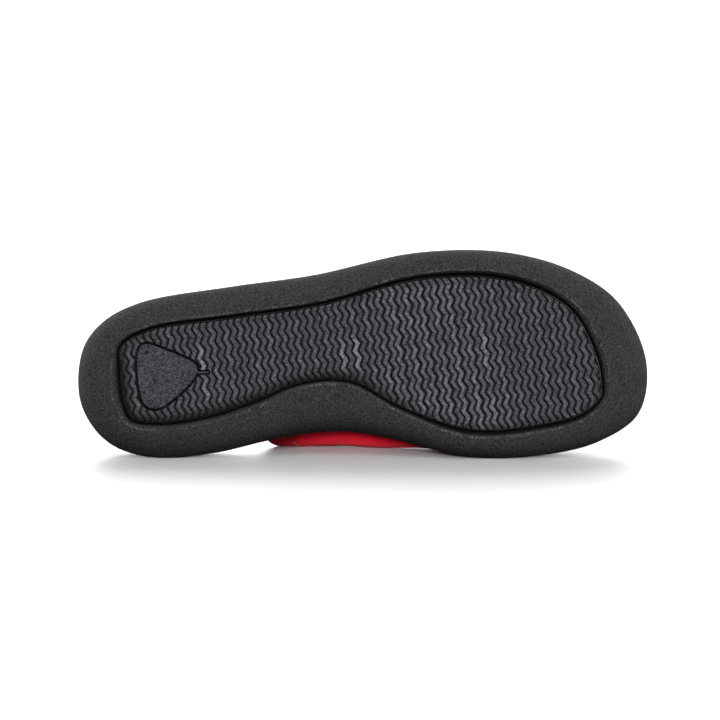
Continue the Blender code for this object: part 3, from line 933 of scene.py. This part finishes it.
# Border rib: share of its width, depth, and how pale it is: rubbed, and partly a painted highlight along its top
RIB_SECTION = ((0.08, 0.7, 0.0), (0.28, 0.32, 0.35), (0.5, 0.18, 0.8), (0.72, 0.32, 0.35), (0.95, 0.9, 0.0))
RIB_FOOT = (0.05, 0.1)    # inner foot of the rib: distance past its width, depth below the floor
RIB_BLACK = (0.4, 0.9)    # depths over which painted shade turns the rib's sides and the pad's floor black
END_DROP = 0.35           # how far the ends of the ridges round down to the border


def pad_side(station):
    """How far the side of the tread pad lies inside the edge of the sole."""
    return station.flange + station.border + PAD_CLEARANCE


def zigzag(y, wave, swing):
    """Sideways swing of the ridges across the sole, with slightly rounded corners."""
    t = np.mod(y / wave + ZIGZAG_PHASE, 1.0)
    sharp = np.where(t < 0.5, 4.0 * t - 1.0, 3.0 - 4.0 * t)
    return swing * np.sign(sharp) * np.minimum(np.abs(sharp), ZIGZAG_CLIP)


def ridge_section(pitch, groove, depth):
    """Places across one ridge from its middle, and the depths there."""
    top = 0.5 * (pitch - groove)
    half = np.array([(share * top, low) for share, low in RIDGE_TOP] + [(top + 0.08, 0.90), (top + 0.2, depth)])
    return np.vstack((half[:0:-1] * (-1.0, 1.0), half))


def ridge_slab(sizes):
    """Flat slab of zigzag ridges that covers the whole tread, before it is cut to shape."""
    pitch, groove, depth, wave, swing, lowered, paired = in_mm(
        sizes, "pitch", "groove", "depth", "wave", "swing", "lowered", "paired")
    section = ridge_section(pitch, groove, depth)
    numbers = np.arange(*RIDGE_NUMBERS)
    middles = RIDGE_ORIGIN + pitch * numbers
    second = numbers % 2 == 0
    moved = middles + paired * plateau(PAIRED_ZONE, middles) * second
    along = (moved[:, None] + section[None, :, 0]).ravel()
    depths = section[None, :, 1] + (lowered * second)[:, None] * (section[None, :, 1] < 0.45 * depth)
    corners = (np.arange(*CORNER_NUMBERS) * 0.5 - ZIGZAG_PHASE) * wave
    across = np.sort(np.concatenate([corners + aside for aside in CORNER_SIDES]))
    points = np.empty((len(across), len(along), 3))
    points[..., 0] = along[None, :] + zigzag(across, wave, swing)[:, None]
    points[..., 1] = across[:, None]
    points[..., 2] = depths.ravel()[None, :]
    body = bmesh.new()
    bend_grid(body, points)
    rim = [edge for edge in body.edges if edge.is_boundary]
    for item in bmesh.ops.extrude_edge_only(body, edges=rim)["geom"]:
        if isinstance(item, bmesh.types.BMVert):
            item.co.z = SLAB_BACK
    bmesh.ops.holes_fill(body, edges=[edge for edge in body.edges if edge.is_boundary], sides=0)
    bmesh.ops.recalc_face_normals(body, faces=body.faces)
    return body


def triangle_outline(grow):
    """Outline of the heel triangle, moved outwards from the middle of its groove."""
    curve = closed_curve(np.array(TRIANGLE), 6)
    return curve + inward_of(curve) * grow


def short_rib(grow):
    """Outline of the short rib at the triangle's point, made larger all round."""
    (x0, y0), (x1, y1) = TRIANGLE_RIB
    wide, narrow = RIB_HALVES
    return [(x0 - RIB_ROOT, y0 - wide - grow), (x1 + grow, y1 - narrow - grow), (x1 + grow, y1 + narrow + grow),
            (x0 - RIB_ROOT, y0 + wide + grow)]


def from_border(body, border):
    """Distance of each point of the ridges from the border, and the number of the border's nearest point."""
    inward = inward_of(border)
    plan = np.array([vert.co[:2] for vert in body.verts])
    nearest = np.concatenate([np.linalg.norm(part[:, None] - border[None], axis=-1).argmin(axis=1)
                              for part in np.array_split(plan, SEARCH_PARTS)])
    return np.abs(((plan - border[nearest]) * inward[nearest]).sum(axis=1)), nearest


def mark_wear_highlight_and_shade(body, sizes, inside, sunk):
    """Writes the ridges' wear with its painted highlights, and their painted shade, and rounds the ridges' ends
    down.
    """
    pitch, wave, swing, paired = in_mm(sizes, "pitch", "wave", "swing", "paired")
    x, y, z = np.array([vert.co for vert in body.verts]).T
    straight = x - zigzag(y, wave, swing)
    number = np.round((straight - RIDGE_ORIGIN) / pitch)
    second = number % 2 == 0
    middle = RIDGE_ORIGIN + pitch * number
    aside = straight - middle
    tops = smooth_drop(*TOP_FADE, z)
    # the paleness is kept to each ridge's crest: partly wear, partly a painted highlight
    crest = smooth_drop(*CREST_FADE, np.abs(aside - paired * plateau(PAIRED_ZONE, middle) * second))
    worn = (np.where(second, *WORN_RIDGES) + WORN_BALL * plateau(BALL_ZONE, middle)) * tops * crest
    for rub in RUBS:
        near = (np.abs(middle - rub.x) < 0.5 * pitch) * smooth_drop(*RUB_CREST, np.abs(aside))
        span = plateau([place + fade for place in (rub.y_from, rub.y_to) for fade in (-RUB_FADE, RUB_FADE)], y)
        worn = np.maximum(worn, rub.strength * near * span * tops)
    ends = smooth_drop(*END_FADE, inside)
    # painted shade along the border, more of it where the rib is sunk and shelters the ridges' ends
    sheltered = smooth_step(*SHELTER, sunk)
    shaded = SHADES[0] + SHADES[1] * smooth_step(*SUNK_SHADE, sunk) + SHADES[2] * sheltered
    shaded *= smooth_drop(SHADE_ENDS[0], SHADE_ENDS[1] + SHADE_ENDS[2] * sheltered, inside)
    # ridge ends that are not sheltered get a painted highlight
    free_ends = ends * (1.0 - sheltered)
    write_layer(body, "worn", np.maximum(worn * (1.0 - shaded), END_HIGHLIGHT * free_ends * tops))
    # painted shade: black in the grooves and along the border
    write_layer(body, "deep", np.maximum(smooth_step(*GROOVE_FADE, z), shaded * (1.0 - free_ends)))
    for vert, drop in zip(body.verts, END_DROP * ends * (z < 1.0)):
        vert.co.z += drop


def make_tread_base(stations, sizes, material):
    """Pad that is let into the well: its side, the rib along its border and the floor between the ridges."""
    rib = sizes.rib / MM
    none = np.zeros(len(stations.x))
    section = [(0.0, none + WELL_DEPTH - GAP, 0.0), (0.0, none + TREAD_FLOOR, 0.0)]
    section += [(share * rib, depth + stations.sunk, worn) for share, depth, worn in RIB_SECTION]
    section.append((rib + RIB_FOOT[0], none + TREAD_FLOOR + RIB_FOOT[1], 0.0))
    rings = np.array([edge_ring(stations, pad_side(stations) + inwards, "ground", depth)
                      for inwards, depth, _ in section])
    # the rib's top is pale, partly rubbed and partly a painted highlight; lower down painted shade turns it black
    worn = np.array([none + value for *_, value in section])
    deep = np.array([smooth_step(*RIB_BLACK, depth) for _, depth, _ in section])
    body = ringed_body(rings, worn=worn, deep=deep)
    add_piece("tread_base", body, [material], "tread_pad", 50.0)


def make_ridges(stations, sizes, material):
    """Zigzag ridges, cut to the border and round the heel triangle."""
    margin, gap = in_mm(sizes, "margin", "moulded_gap")
    border = np.stack(inset(stations, pad_side(stations) + margin), axis=-1)
    body = carve(ridge_slab(sizes), cutter(border), "INTERSECT")
    for outline in (triangle_outline(-0.5 * gap), short_rib(RIB_ROOM)):
        body = carve(body, cutter(outline), "DIFFERENCE")
    weld(body)
    inside, nearest = from_border(body, border)
    mark_wear_highlight_and_shade(body, sizes, inside, stations.sunk[nearest])
    lay_body(body, bend=True)
    add_piece("tread_ridges", body, [material], sharp=28.0)


def make_triangle(sizes, material):
    """Flush plate of the heel triangle with its pin hole, and the short rib at its point."""
    body = prism(triangle_outline(0.5 * sizes.moulded_gap / MM), 0.0, SLAB_BACK)
    rim = [edge for edge in body.edges if all(abs(vert.co.z) < 1e-6 for vert in edge.verts)]
    bmesh.ops.bevel(body, geom=rim, offset=PLATE_EDGE, offset_type="OFFSET", affect="EDGES", segments=3,
                    profile=0.5, material=-1)
    for plug in PLUGS:
        body = carve(body, round_plug(plug), plug.operation)
    body = carve(body, prism(short_rib(0.0), RIB_LOW, SLAB_BACK - RIB_LOW), "UNION")
    weld(body)
    depths = np.array([vert.co.z for vert in body.verts])
    write_layer(body, "worn", PLATE_WORN * smooth_drop(*PLATE_FADE, depths))
    # painted shade turns the plate's sides and its holes black
    write_layer(body, "deep", smooth_step(*PLATE_BLACK, depths))
    lay_body(body, bend=True)
    add_piece("heel_triangle", body, [material], sharp=30.0)


class SLIPPER_OT_make_tread(bpy.types.Operator):
    """Makes the tread: the pad with its border rib, the zigzag ridges and the heel triangle"""

    bl_idname = "slipper.make_tread"
    bl_label = "Make tread"

    def execute(self, context):
        sizes = context.scene.slipper_tread
        stations = sole_stations()
        rubber, mottled = (rubber_material(context.scene.slipper_finishes, *values) for values in (
            ("tread_rubber", 0.0007, 0.00022, 0.0, 2.2), ("mottled_rubber", 0.0010, 0.00060, 0.1, 2.3)))
        make_tread_base(stations, sizes, rubber)
        make_ridges(stations, sizes, rubber)
        make_triangle(sizes, mottled)
        return {"FINISHED"}


# Footbed

def insole_edge(station):
    """Distance of the insole's side from the edge of the sole: in the tray, then inside the vamp."""
    inside_vamp = smooth_step(*INSOLE_NARROWS, station.x)
    return tray_wall(station) + GAP + (VAMP_WALL + GAP) * inside_vamp


class SLIPPER_OT_make_footbed(bpy.types.Operator):
    """Makes the cupped footbed with its cloth face"""

    bl_idname = "slipper.make_footbed"
    bl_label = "Make footbed"

    def execute(self, context):
        stations = sole_stations()
        edge = insole_edge(stations)
        ring = edge_ring(stations, edge, "footbed", stations.cup * INSOLE_CUP[0].share)
        top = cross_sheet(ring, FOOTBED_COLUMNS)
        plan = top[..., :2].reshape(-1, 2)
        apart = np.linalg.norm(plan[:, None, :] - ring[None, :, :2], axis=-1)
        share = read_table(INSOLE_CUP, "inwards", "share", apart.min(axis=1))
        rise = stations.cup[apart.argmin(axis=1)] * share
        top[..., 2] = level(top[..., 0], "footbed") + rise.reshape(top.shape[:2])
        under_ring = edge_ring(stations, edge, "tray", GAP)
        under = cross_sheet(under_ring, SHEET_COLUMNS)
        side = closed_ring(np.array([under_ring * (1.0 - t) + ring * t for t in np.linspace(0.0, 1.0, 5)]))
        body = new_body()
        for sheet, axes in ((top, [0, 1]), (side, [0, 2]), (under, [0, 1])):
            bend_grid(body, sheet, uv=sheet[..., axes] * MM)
        lay_shell(body)
        cloth = cloth_material("footbed_cloth", context.scene.slipper_finishes.footbed, 0.0009, 0.0009, 0.00012,
                               0.86, 0.35, 0.2, 0.5)
        footbed = add_piece("footbed", body, [cloth], "insole", 60.0)
        return {"FINISHED"}


# Vamp

SKIRT_STEPS = 4
FOLD_POINTS = 40
FOLD_ENDS = 0.6           # power of the sine by which a fold fades to its ends
SHOULDER_AT = 1.8         # distance of a fold's shoulders from its middle, in widths
FOLDS_RISE = 5.0          # height above the rim over which the folds come in


def vamp_sheet(alongs, turns):
    """Outer face of the vamp: rows from the toe to the rear edge, columns from the inner rim over to the outer."""
    sides = []
    for inner, rear_x in ((True, VAMP_REAR_INNER), (False, VAMP_REAR_OUTER)):
        half, lengths = HALVES[inner]
        station = station_at(inner, np.interp(-rear_x, -half[:, 0], lengths) * alongs)
        x, y = (value[:, None] for value in inset(station, tray_wall(station) + GAP))
        bottom = level(x, "tray") + GAP
        start = level(x, "rim") + SKIRT_ABOVE_RIM
        ridge_x, ridge_y, ridge_z = (read_table(VAMP, "along", column, np.maximum(alongs, TOE_POLE))[:, None]
                                     for column in "xyz")
        power = 2.0 / read_table(VAMP, "along", "fullness", alongs)[:, None]
        swell = read_table(VAMP, "along", "inner" if inner else "outer", alongs)[:, None]
        peak = BULGE_PEAK / (1.0 + BULGE_PEAK)
        lean = smooth_step(0.0, 1.0, alongs)[:, None]
        across = 1.0 - np.maximum(np.cos(turns), 0.0)[None, :] ** power
        up = np.sin(turns)[None, :] ** power
        bulge = swell * up**BULGE_PEAK * (1.0 - up) / (peak**BULGE_PEAK * (1.0 - peak))
        forward = across + (up**TOPLINE_HOLLOW - across) * lean
        dome = np.stack((x + (ridge_x - x) * forward - station.inward_x[:, None] * bulge,
                         y + (ridge_y - y) * across - station.inward_y[:, None] * bulge,
                         start + (ridge_z - start) * up), axis=-1)
        share = np.linspace(0.0, 1.0, SKIRT_STEPS + 1)[None, :-1]
        skirt = np.stack((x + 0.0 * share, y + 0.0 * share, bottom + (start - bottom) * share), axis=-1)
        sides.append(np.concatenate((skirt, dome), axis=1))
    inner, outer = sides
    return np.concatenate((inner, outer[:, -2::-1]), axis=1)


def normals_of(sheet):
    """Unit normals of a sheet of points, out of the vamp."""
    down_rows = np.gradient(sheet, axis=0)
    over_columns = np.gradient(sheet, axis=1)
    normals = np.cross(down_rows, over_columns)
    length = np.linalg.norm(normals, axis=-1, keepdims=True)
    return normals / np.maximum(length, 1e-9)


def fold_heights(sheet, strength):
    """Height of the soft folds at each point of the vamp."""
    heights = np.zeros(sheet.shape[:2])
    ridge = sheet.shape[1] // 2
    columns = np.arange(sheet.shape[1])[None, :]
    t = np.linspace(0.0, 1.0, FOLD_POINTS)
    for fold in FOLDS:
        start, middle, end = (np.array(point) for point in fold.points)
        line = (np.outer((1 - t) ** 2, start) + np.outer(2 * t * (1 - t), 2 * middle - 0.5 * (start + end))
                + np.outer(t**2, end))
        seen = sheet[..., [0, 1]] if fold.view == "top" else sheet[..., [0, 2]]
        apart = np.linalg.norm(seen[:, :, None, :] - line[None, None, :, :], axis=-1)
        nearest = apart.argmin(axis=-1)
        reach = apart.min(axis=-1) / fold.width
        fade = np.sin(math.pi * np.clip(t[nearest], 0.02, 0.98)) ** FOLD_ENDS
        side = {"top": 1.0, "inner": columns < ridge, "outer": columns > ridge}[fold.view]
        heights += strength * fold.depth * fade * side * (
            fold.shoulder * np.exp(-((reach - SHOULDER_AT) ** 2)) - np.exp(-(reach**2)))
    return heights


def folded_vamp(alongs, turns, strength):
    """Vamp with its folds, pressed flat where it lies on the floor, and its normals."""
    sheet = vamp_sheet(alongs, turns)
    normals = normals_of(sheet)
    free = smooth_step(0.0, FOLDS_RISE, sheet[..., 2] - level(sheet[..., 0], "rim"))
    sheet = sheet + normals * (fold_heights(sheet, strength) * free)[..., None]
    return rest_on_floor(sheet), normals_of(sheet)


def lengths_down(sheet):
    """Length so far down each column of a sheet, from its first row."""
    steps = np.linalg.norm(np.diff(sheet, axis=0), axis=-1)
    return np.concatenate((np.zeros((1, sheet.shape[1])), np.cumsum(steps, axis=0)), axis=0)


def girth_of(sheet):
    """Cloth coordinates in metres: across from the ridge, and along from the toe."""
    across = lengths_down(np.swapaxes(sheet, 0, 1)).T
    across = across - across[:, [sheet.shape[1] // 2]]
    return np.stack((across, lengths_down(sheet)), axis=-1) * MM


def add_wall(piece, thickness):
    """Gives an open cloth its thickness, inwards."""
    wall = piece.modifiers.new("wall", "SOLIDIFY")
    wall.thickness = thickness
    wall.offset = -1.0
    return wall


class SLIPPER_OT_make_vamp(bpy.types.Operator):
    """Makes the hollow vamp with its folds and lining"""

    bl_idname = "slipper.make_vamp"
    bl_label = "Make vamp"

    def execute(self, context):
        sizes = context.scene.slipper_vamp
        colours = context.scene.slipper_finishes
        sheet, _ = folded_vamp(np.linspace(0.0, 1.0, VAMP_ROWS), quarter(VAMP_STEPS), sizes.folds)
        body = new_body()
        bend_grid(body, sheet, uv=girth_of(sheet))
        weld(body)
        lay_cloth(body)
        red = cloth_material("red_vamp", colours.red, 0.0011, 0.0011, 0.00010, 0.70, 0.08, 0.14)
        lining = cloth_material("lining", colours.lining, 0.0011, 0.0011, 0.00016, 0.9, 0.5, 0.2, 0.5)
        vamp = add_piece("vamp", body, [red, lining], "upper", 60.0)
        wall = add_wall(vamp, sizes.wall)
        wall.use_even_offset = True
        wall.use_quality_normals = True
        wall.material_offset = 1
        return {"FINISHED"}


# Topline band

BAND_FROM = 0.84          # the band is cut from the vamp's sheet behind this place along it
BAND_STEPS = 60
BAND_ROWS = 70
BAND_OUTSIDE = 14
BAND_ROUND = 9
BAND_INSIDE = 9
BAND_EDGE = ((0.0, 0.1), (0.15, 0.6), (0.5, 0.95))   # front edge: distance in from it, share of the thickness
BAND_FLAT = 1.1           # the band has its full thickness from here
BAND_TUCK = (0.8, 0.15)   # inner edge: length over which it thins, share of the thickness that is left
BAND_WALL_LESS = 0.0001   # metres by which its wall is thinner than it stands proud
STITCH_LINE = 1.7         # from the band's front edge to its stitches


def band_section(sizes):
    """Sheet of the band from its front edge over the topline to its edge inside the vamp, and its stitch line."""
    width, inside, proud, wall = in_mm(sizes, "band", "band_inside", "band_proud", "wall")
    sheet, normals = folded_vamp(np.linspace(BAND_FROM, 1.0, BAND_ROWS), quarter(BAND_STEPS), sizes.folds)
    lengths = lengths_down(sheet[::-1])

    def read(values, distance):
        return np.array([[np.interp(distance, column_lengths, column[::-1, axis]) for axis in range(3)]
                         for column_lengths, column in zip(lengths.T, np.swapaxes(values, 0, 1))])

    edge, out = sheet[-1], normals[-1]
    rear = sheet[-1] - sheet[-3]
    rear -= (rear * out).sum(axis=1, keepdims=True) * out
    rear /= np.linalg.norm(rear, axis=1, keepdims=True)
    rows = []
    flat = [(distance, 1.0) for distance in np.linspace(width - BAND_FLAT, 0.0, BAND_OUTSIDE)]
    for distance, share in [(width - inwards, share) for inwards, share in BAND_EDGE] + flat:
        rows.append(read(sheet, distance) + read(normals, distance) * proud * share)
    radius = 0.5 * wall + proud
    for turn in np.linspace(0.0, math.pi, BAND_ROUND + 2)[1:-1]:
        rows.append(edge - out * 0.5 * wall + radius * (out * math.cos(turn) + rear * math.sin(turn)))
    flat = [(distance, 1.0) for distance in np.linspace(0.0, inside - BAND_TUCK[0], BAND_INSIDE)]
    for distance, share in flat + [(inside, BAND_TUCK[1])]:
        rows.append(read(sheet, distance) - read(normals, distance) * (wall + proud * share))
    shown = slice(SKIRT_STEPS, -SKIRT_STEPS)
    up = read(normals, width - STITCH_LINE)[shown]
    return np.array(rows), read(sheet, width - STITCH_LINE)[shown] + up * proud, up


class SLIPPER_OT_make_band(bpy.types.Operator):
    """Makes the topline band that is folded over the vamp's rear edge, and the stitches that hold it"""

    bl_idname = "slipper.make_band"
    bl_label = "Make topline band"

    def execute(self, context):
        sizes = context.scene.slipper_vamp
        colours = context.scene.slipper_finishes
        rows, path, normals = band_section(sizes)
        rows = rest_on_floor(rows)
        body = new_body()
        bend_grid(body, rows, uv=girth_of(rows))
        lay_cloth(body)
        cloth = cloth_material("topline_band", colours.band, 0.0022, 0.0009, 0.00016, 0.68, 0.08, 0.14)
        band = add_piece("topline_band", body, [cloth], sharp=60.0)
        add_wall(band, sizes.band_proud - BAND_WALL_LESS)
        self.sew(rest_on_floor(path), normals, sizes, colours)
        return {"FINISHED"}

    def sew(self, path, normals, sizes, colours):
        """Row of stitches along the front edge of the band."""
        lengths = lengths_down(path[:, None])[:, 0]
        pitch, stitch, thread = in_mm(sizes, "stitch_pitch", "stitch", "thread")
        half = 0.5 * stitch
        body = bmesh.new()
        for middle in np.arange(pitch, lengths[-1] - pitch, pitch):
            places = ((middle - half, path), (middle, path), (middle + half, path), (middle, normals))
            start, centre, end, up = (Vector([np.interp(at, lengths, values[:, axis]) for axis in range(3)])
                                      for at, values in places)
            along = (end - start).normalized()
            turn = axes_of(along, (up - along * up.dot(along)).normalized()).to_4x4()
            stretch = Matrix.Diagonal((half, 0.5 * thread, 0.45 * thread, 1.0))
            bmesh.ops.create_uvsphere(body, u_segments=8, v_segments=6, radius=1.0,
                                      matrix=Matrix.Translation(centre) @ turn @ stretch
                                      @ Matrix.Rotation(0.5 * math.pi, 4, "Y"))
        lay_body(body)
        add_piece("band_stitches", body, [thread_material(colours)], sharp=80.0)


# Stage

FLOOR_SIZE = 30.0
FLOOR_WHITE = 0.45
FLOOR_BOUNCE = 0.06       # paleness of the floor in the light that it throws back on the shoe
LOW_LIGHT_REACH = ("floor", "vamp", "topline_band", "band_stitches")
AIM = (-0.0013, -0.040, 0.0453)   # point of the sole in the middle of the picture


class SLIPPER_OT_set_stage(bpy.types.Operator):
    """Sets the pale floor, the white room, the soft lights and the camera"""

    bl_idname = "slipper.set_stage"
    bl_label = "Set stage"

    def execute(self, context):
        stage = context.scene.slipper_stage
        self.lay_floor()
        self.light(context.scene, stage)
        self.place_camera(context.scene, stage)
        return {"FINISHED"}

    def lay_floor(self):
        body = bmesh.new()
        bmesh.ops.create_grid(body, x_segments=2, y_segments=2, size=FLOOR_SIZE)
        mesh = bpy.data.meshes.new("floor")
        body.to_mesh(mesh)
        body.free()
        white, tree, shader = new_material("pale_floor", Specular_IOR_Level=0.25, Roughness=0.45)
        seen = add_node(tree, "LightPath").outputs["Is Camera Ray"]
        pale = blend(tree, (FLOOR_BOUNCE,) * 3, (seen, (FLOOR_WHITE,) * 3))
        tree.links.new(pale, shader.inputs["Base Color"])
        mesh.materials.append(white)
        floor = bpy.data.objects.new("floor", mesh)
        bpy.context.scene.collection.objects.link(floor)

    def light(self, scene, stage):
        world = scene.world or bpy.data.worlds.new("white_room")
        scene.world = world
        world.use_nodes = True
        room = world.node_tree.nodes["Background"]
        room.inputs["Color"].default_value = (1.0, 1.0, 1.0, 1.0)
        room.inputs["Strength"].default_value = stage.room
        scene.view_settings.view_transform = "Standard"
        for name, energy, spread_angle, pitch, turn, reach in (
                ("back_panel", stage.panel, 80.0, -45.0, 0.0, ()),
                ("front_panel", stage.front, 36.0, 58.0, 12.0, ()),
                ("floor_panel", stage.overhead, 46.0, -46.0, 0.0, ("floor",)),
                ("low_panel", stage.low, 9.0, 76.5, -4.0, LOW_LIGHT_REACH),
                ("heel_panel", stage.side, 30.0, 84.0, -116.0, ("sole_foam",)),
                ("toe_panel", 0.5 * stage.side, 30.0, 84.0, 116.0, ("sole_foam",))):
            light = bpy.data.lights.new(name, "SUN")
            light.energy = energy
            light.angle = math.radians(spread_angle)
            lamp = bpy.data.objects.new(name, light)
            lamp.rotation_euler = (math.radians(pitch), 0.0, math.radians(turn))
            scene.collection.objects.link(lamp)
            if reach:
                reached = bpy.data.collections.new(name + "_reach")
                for piece in reach:
                    reached.objects.link(bpy.data.objects[piece])
                lamp.light_linking.receiver_collection = reached

    def place_camera(self, scene, stage):
        data = bpy.data.cameras.new("camera")
        data.sensor_width = 36.0
        data.lens = stage.lens
        data.clip_end = 100.0
        camera = bpy.data.objects.new("camera", data)
        back = Vector((0.0, -math.cos(stage.elevation), math.sin(stage.elevation)))
        camera.location = Vector(AIM) + back * (stage.width * stage.lens / data.sensor_width)
        camera.rotation_euler = (-back).to_track_quat("-Z", "Y").to_euler()
        scene.collection.objects.link(camera)
        scene.camera = camera


class SLIPPER_PT_panel(bpy.types.Panel):
    """Lists the pieces of the slipper"""

    bl_idname = "SLIPPER_PT_panel"
    bl_label = "Mule slipper"
    bl_space_type = "VIEW_3D"
    bl_region_type = "UI"
    bl_category = "Slipper"

    def draw(self, context):
        for operator in OPERATORS:
            self.layout.operator(operator.bl_idname)
        for name in SETTINGS:
            box = self.layout.box()
            settings = getattr(context.scene, name)
            for field in settings.__annotations__:
                box.prop(settings, field)


OPERATORS = (SLIPPER_OT_make_sole, SLIPPER_OT_make_tread, SLIPPER_OT_make_footbed, SLIPPER_OT_make_vamp,
             SLIPPER_OT_make_band, SLIPPER_OT_set_stage)
SETTINGS = {"slipper_tread": SlipperTread, "slipper_vamp": SlipperVamp, "slipper_finishes": SlipperFinishes,
            "slipper_stage": SlipperStage}
CLASSES = (*SETTINGS.values(), *OPERATORS, SLIPPER_PT_panel)


def register():
    for part in CLASSES:
        bpy.utils.register_class(part)
    for name, group in SETTINGS.items():
        setattr(bpy.types.Scene, name, PointerProperty(type=group))


def unregister():
    for name in SETTINGS:
        delattr(bpy.types.Scene, name)
    for part in reversed(CLASSES):
        bpy.utils.unregister_class(part)


def main():
    register()
    bpy.ops.slipper.make_sole()
    bpy.ops.slipper.make_tread()
    bpy.ops.slipper.make_footbed()
    bpy.ops.slipper.make_vamp()
    bpy.ops.slipper.make_band()
    bpy.ops.slipper.set_stage()
    bpy.context.view_layer.update()


if __name__ == "__main__":
    main()
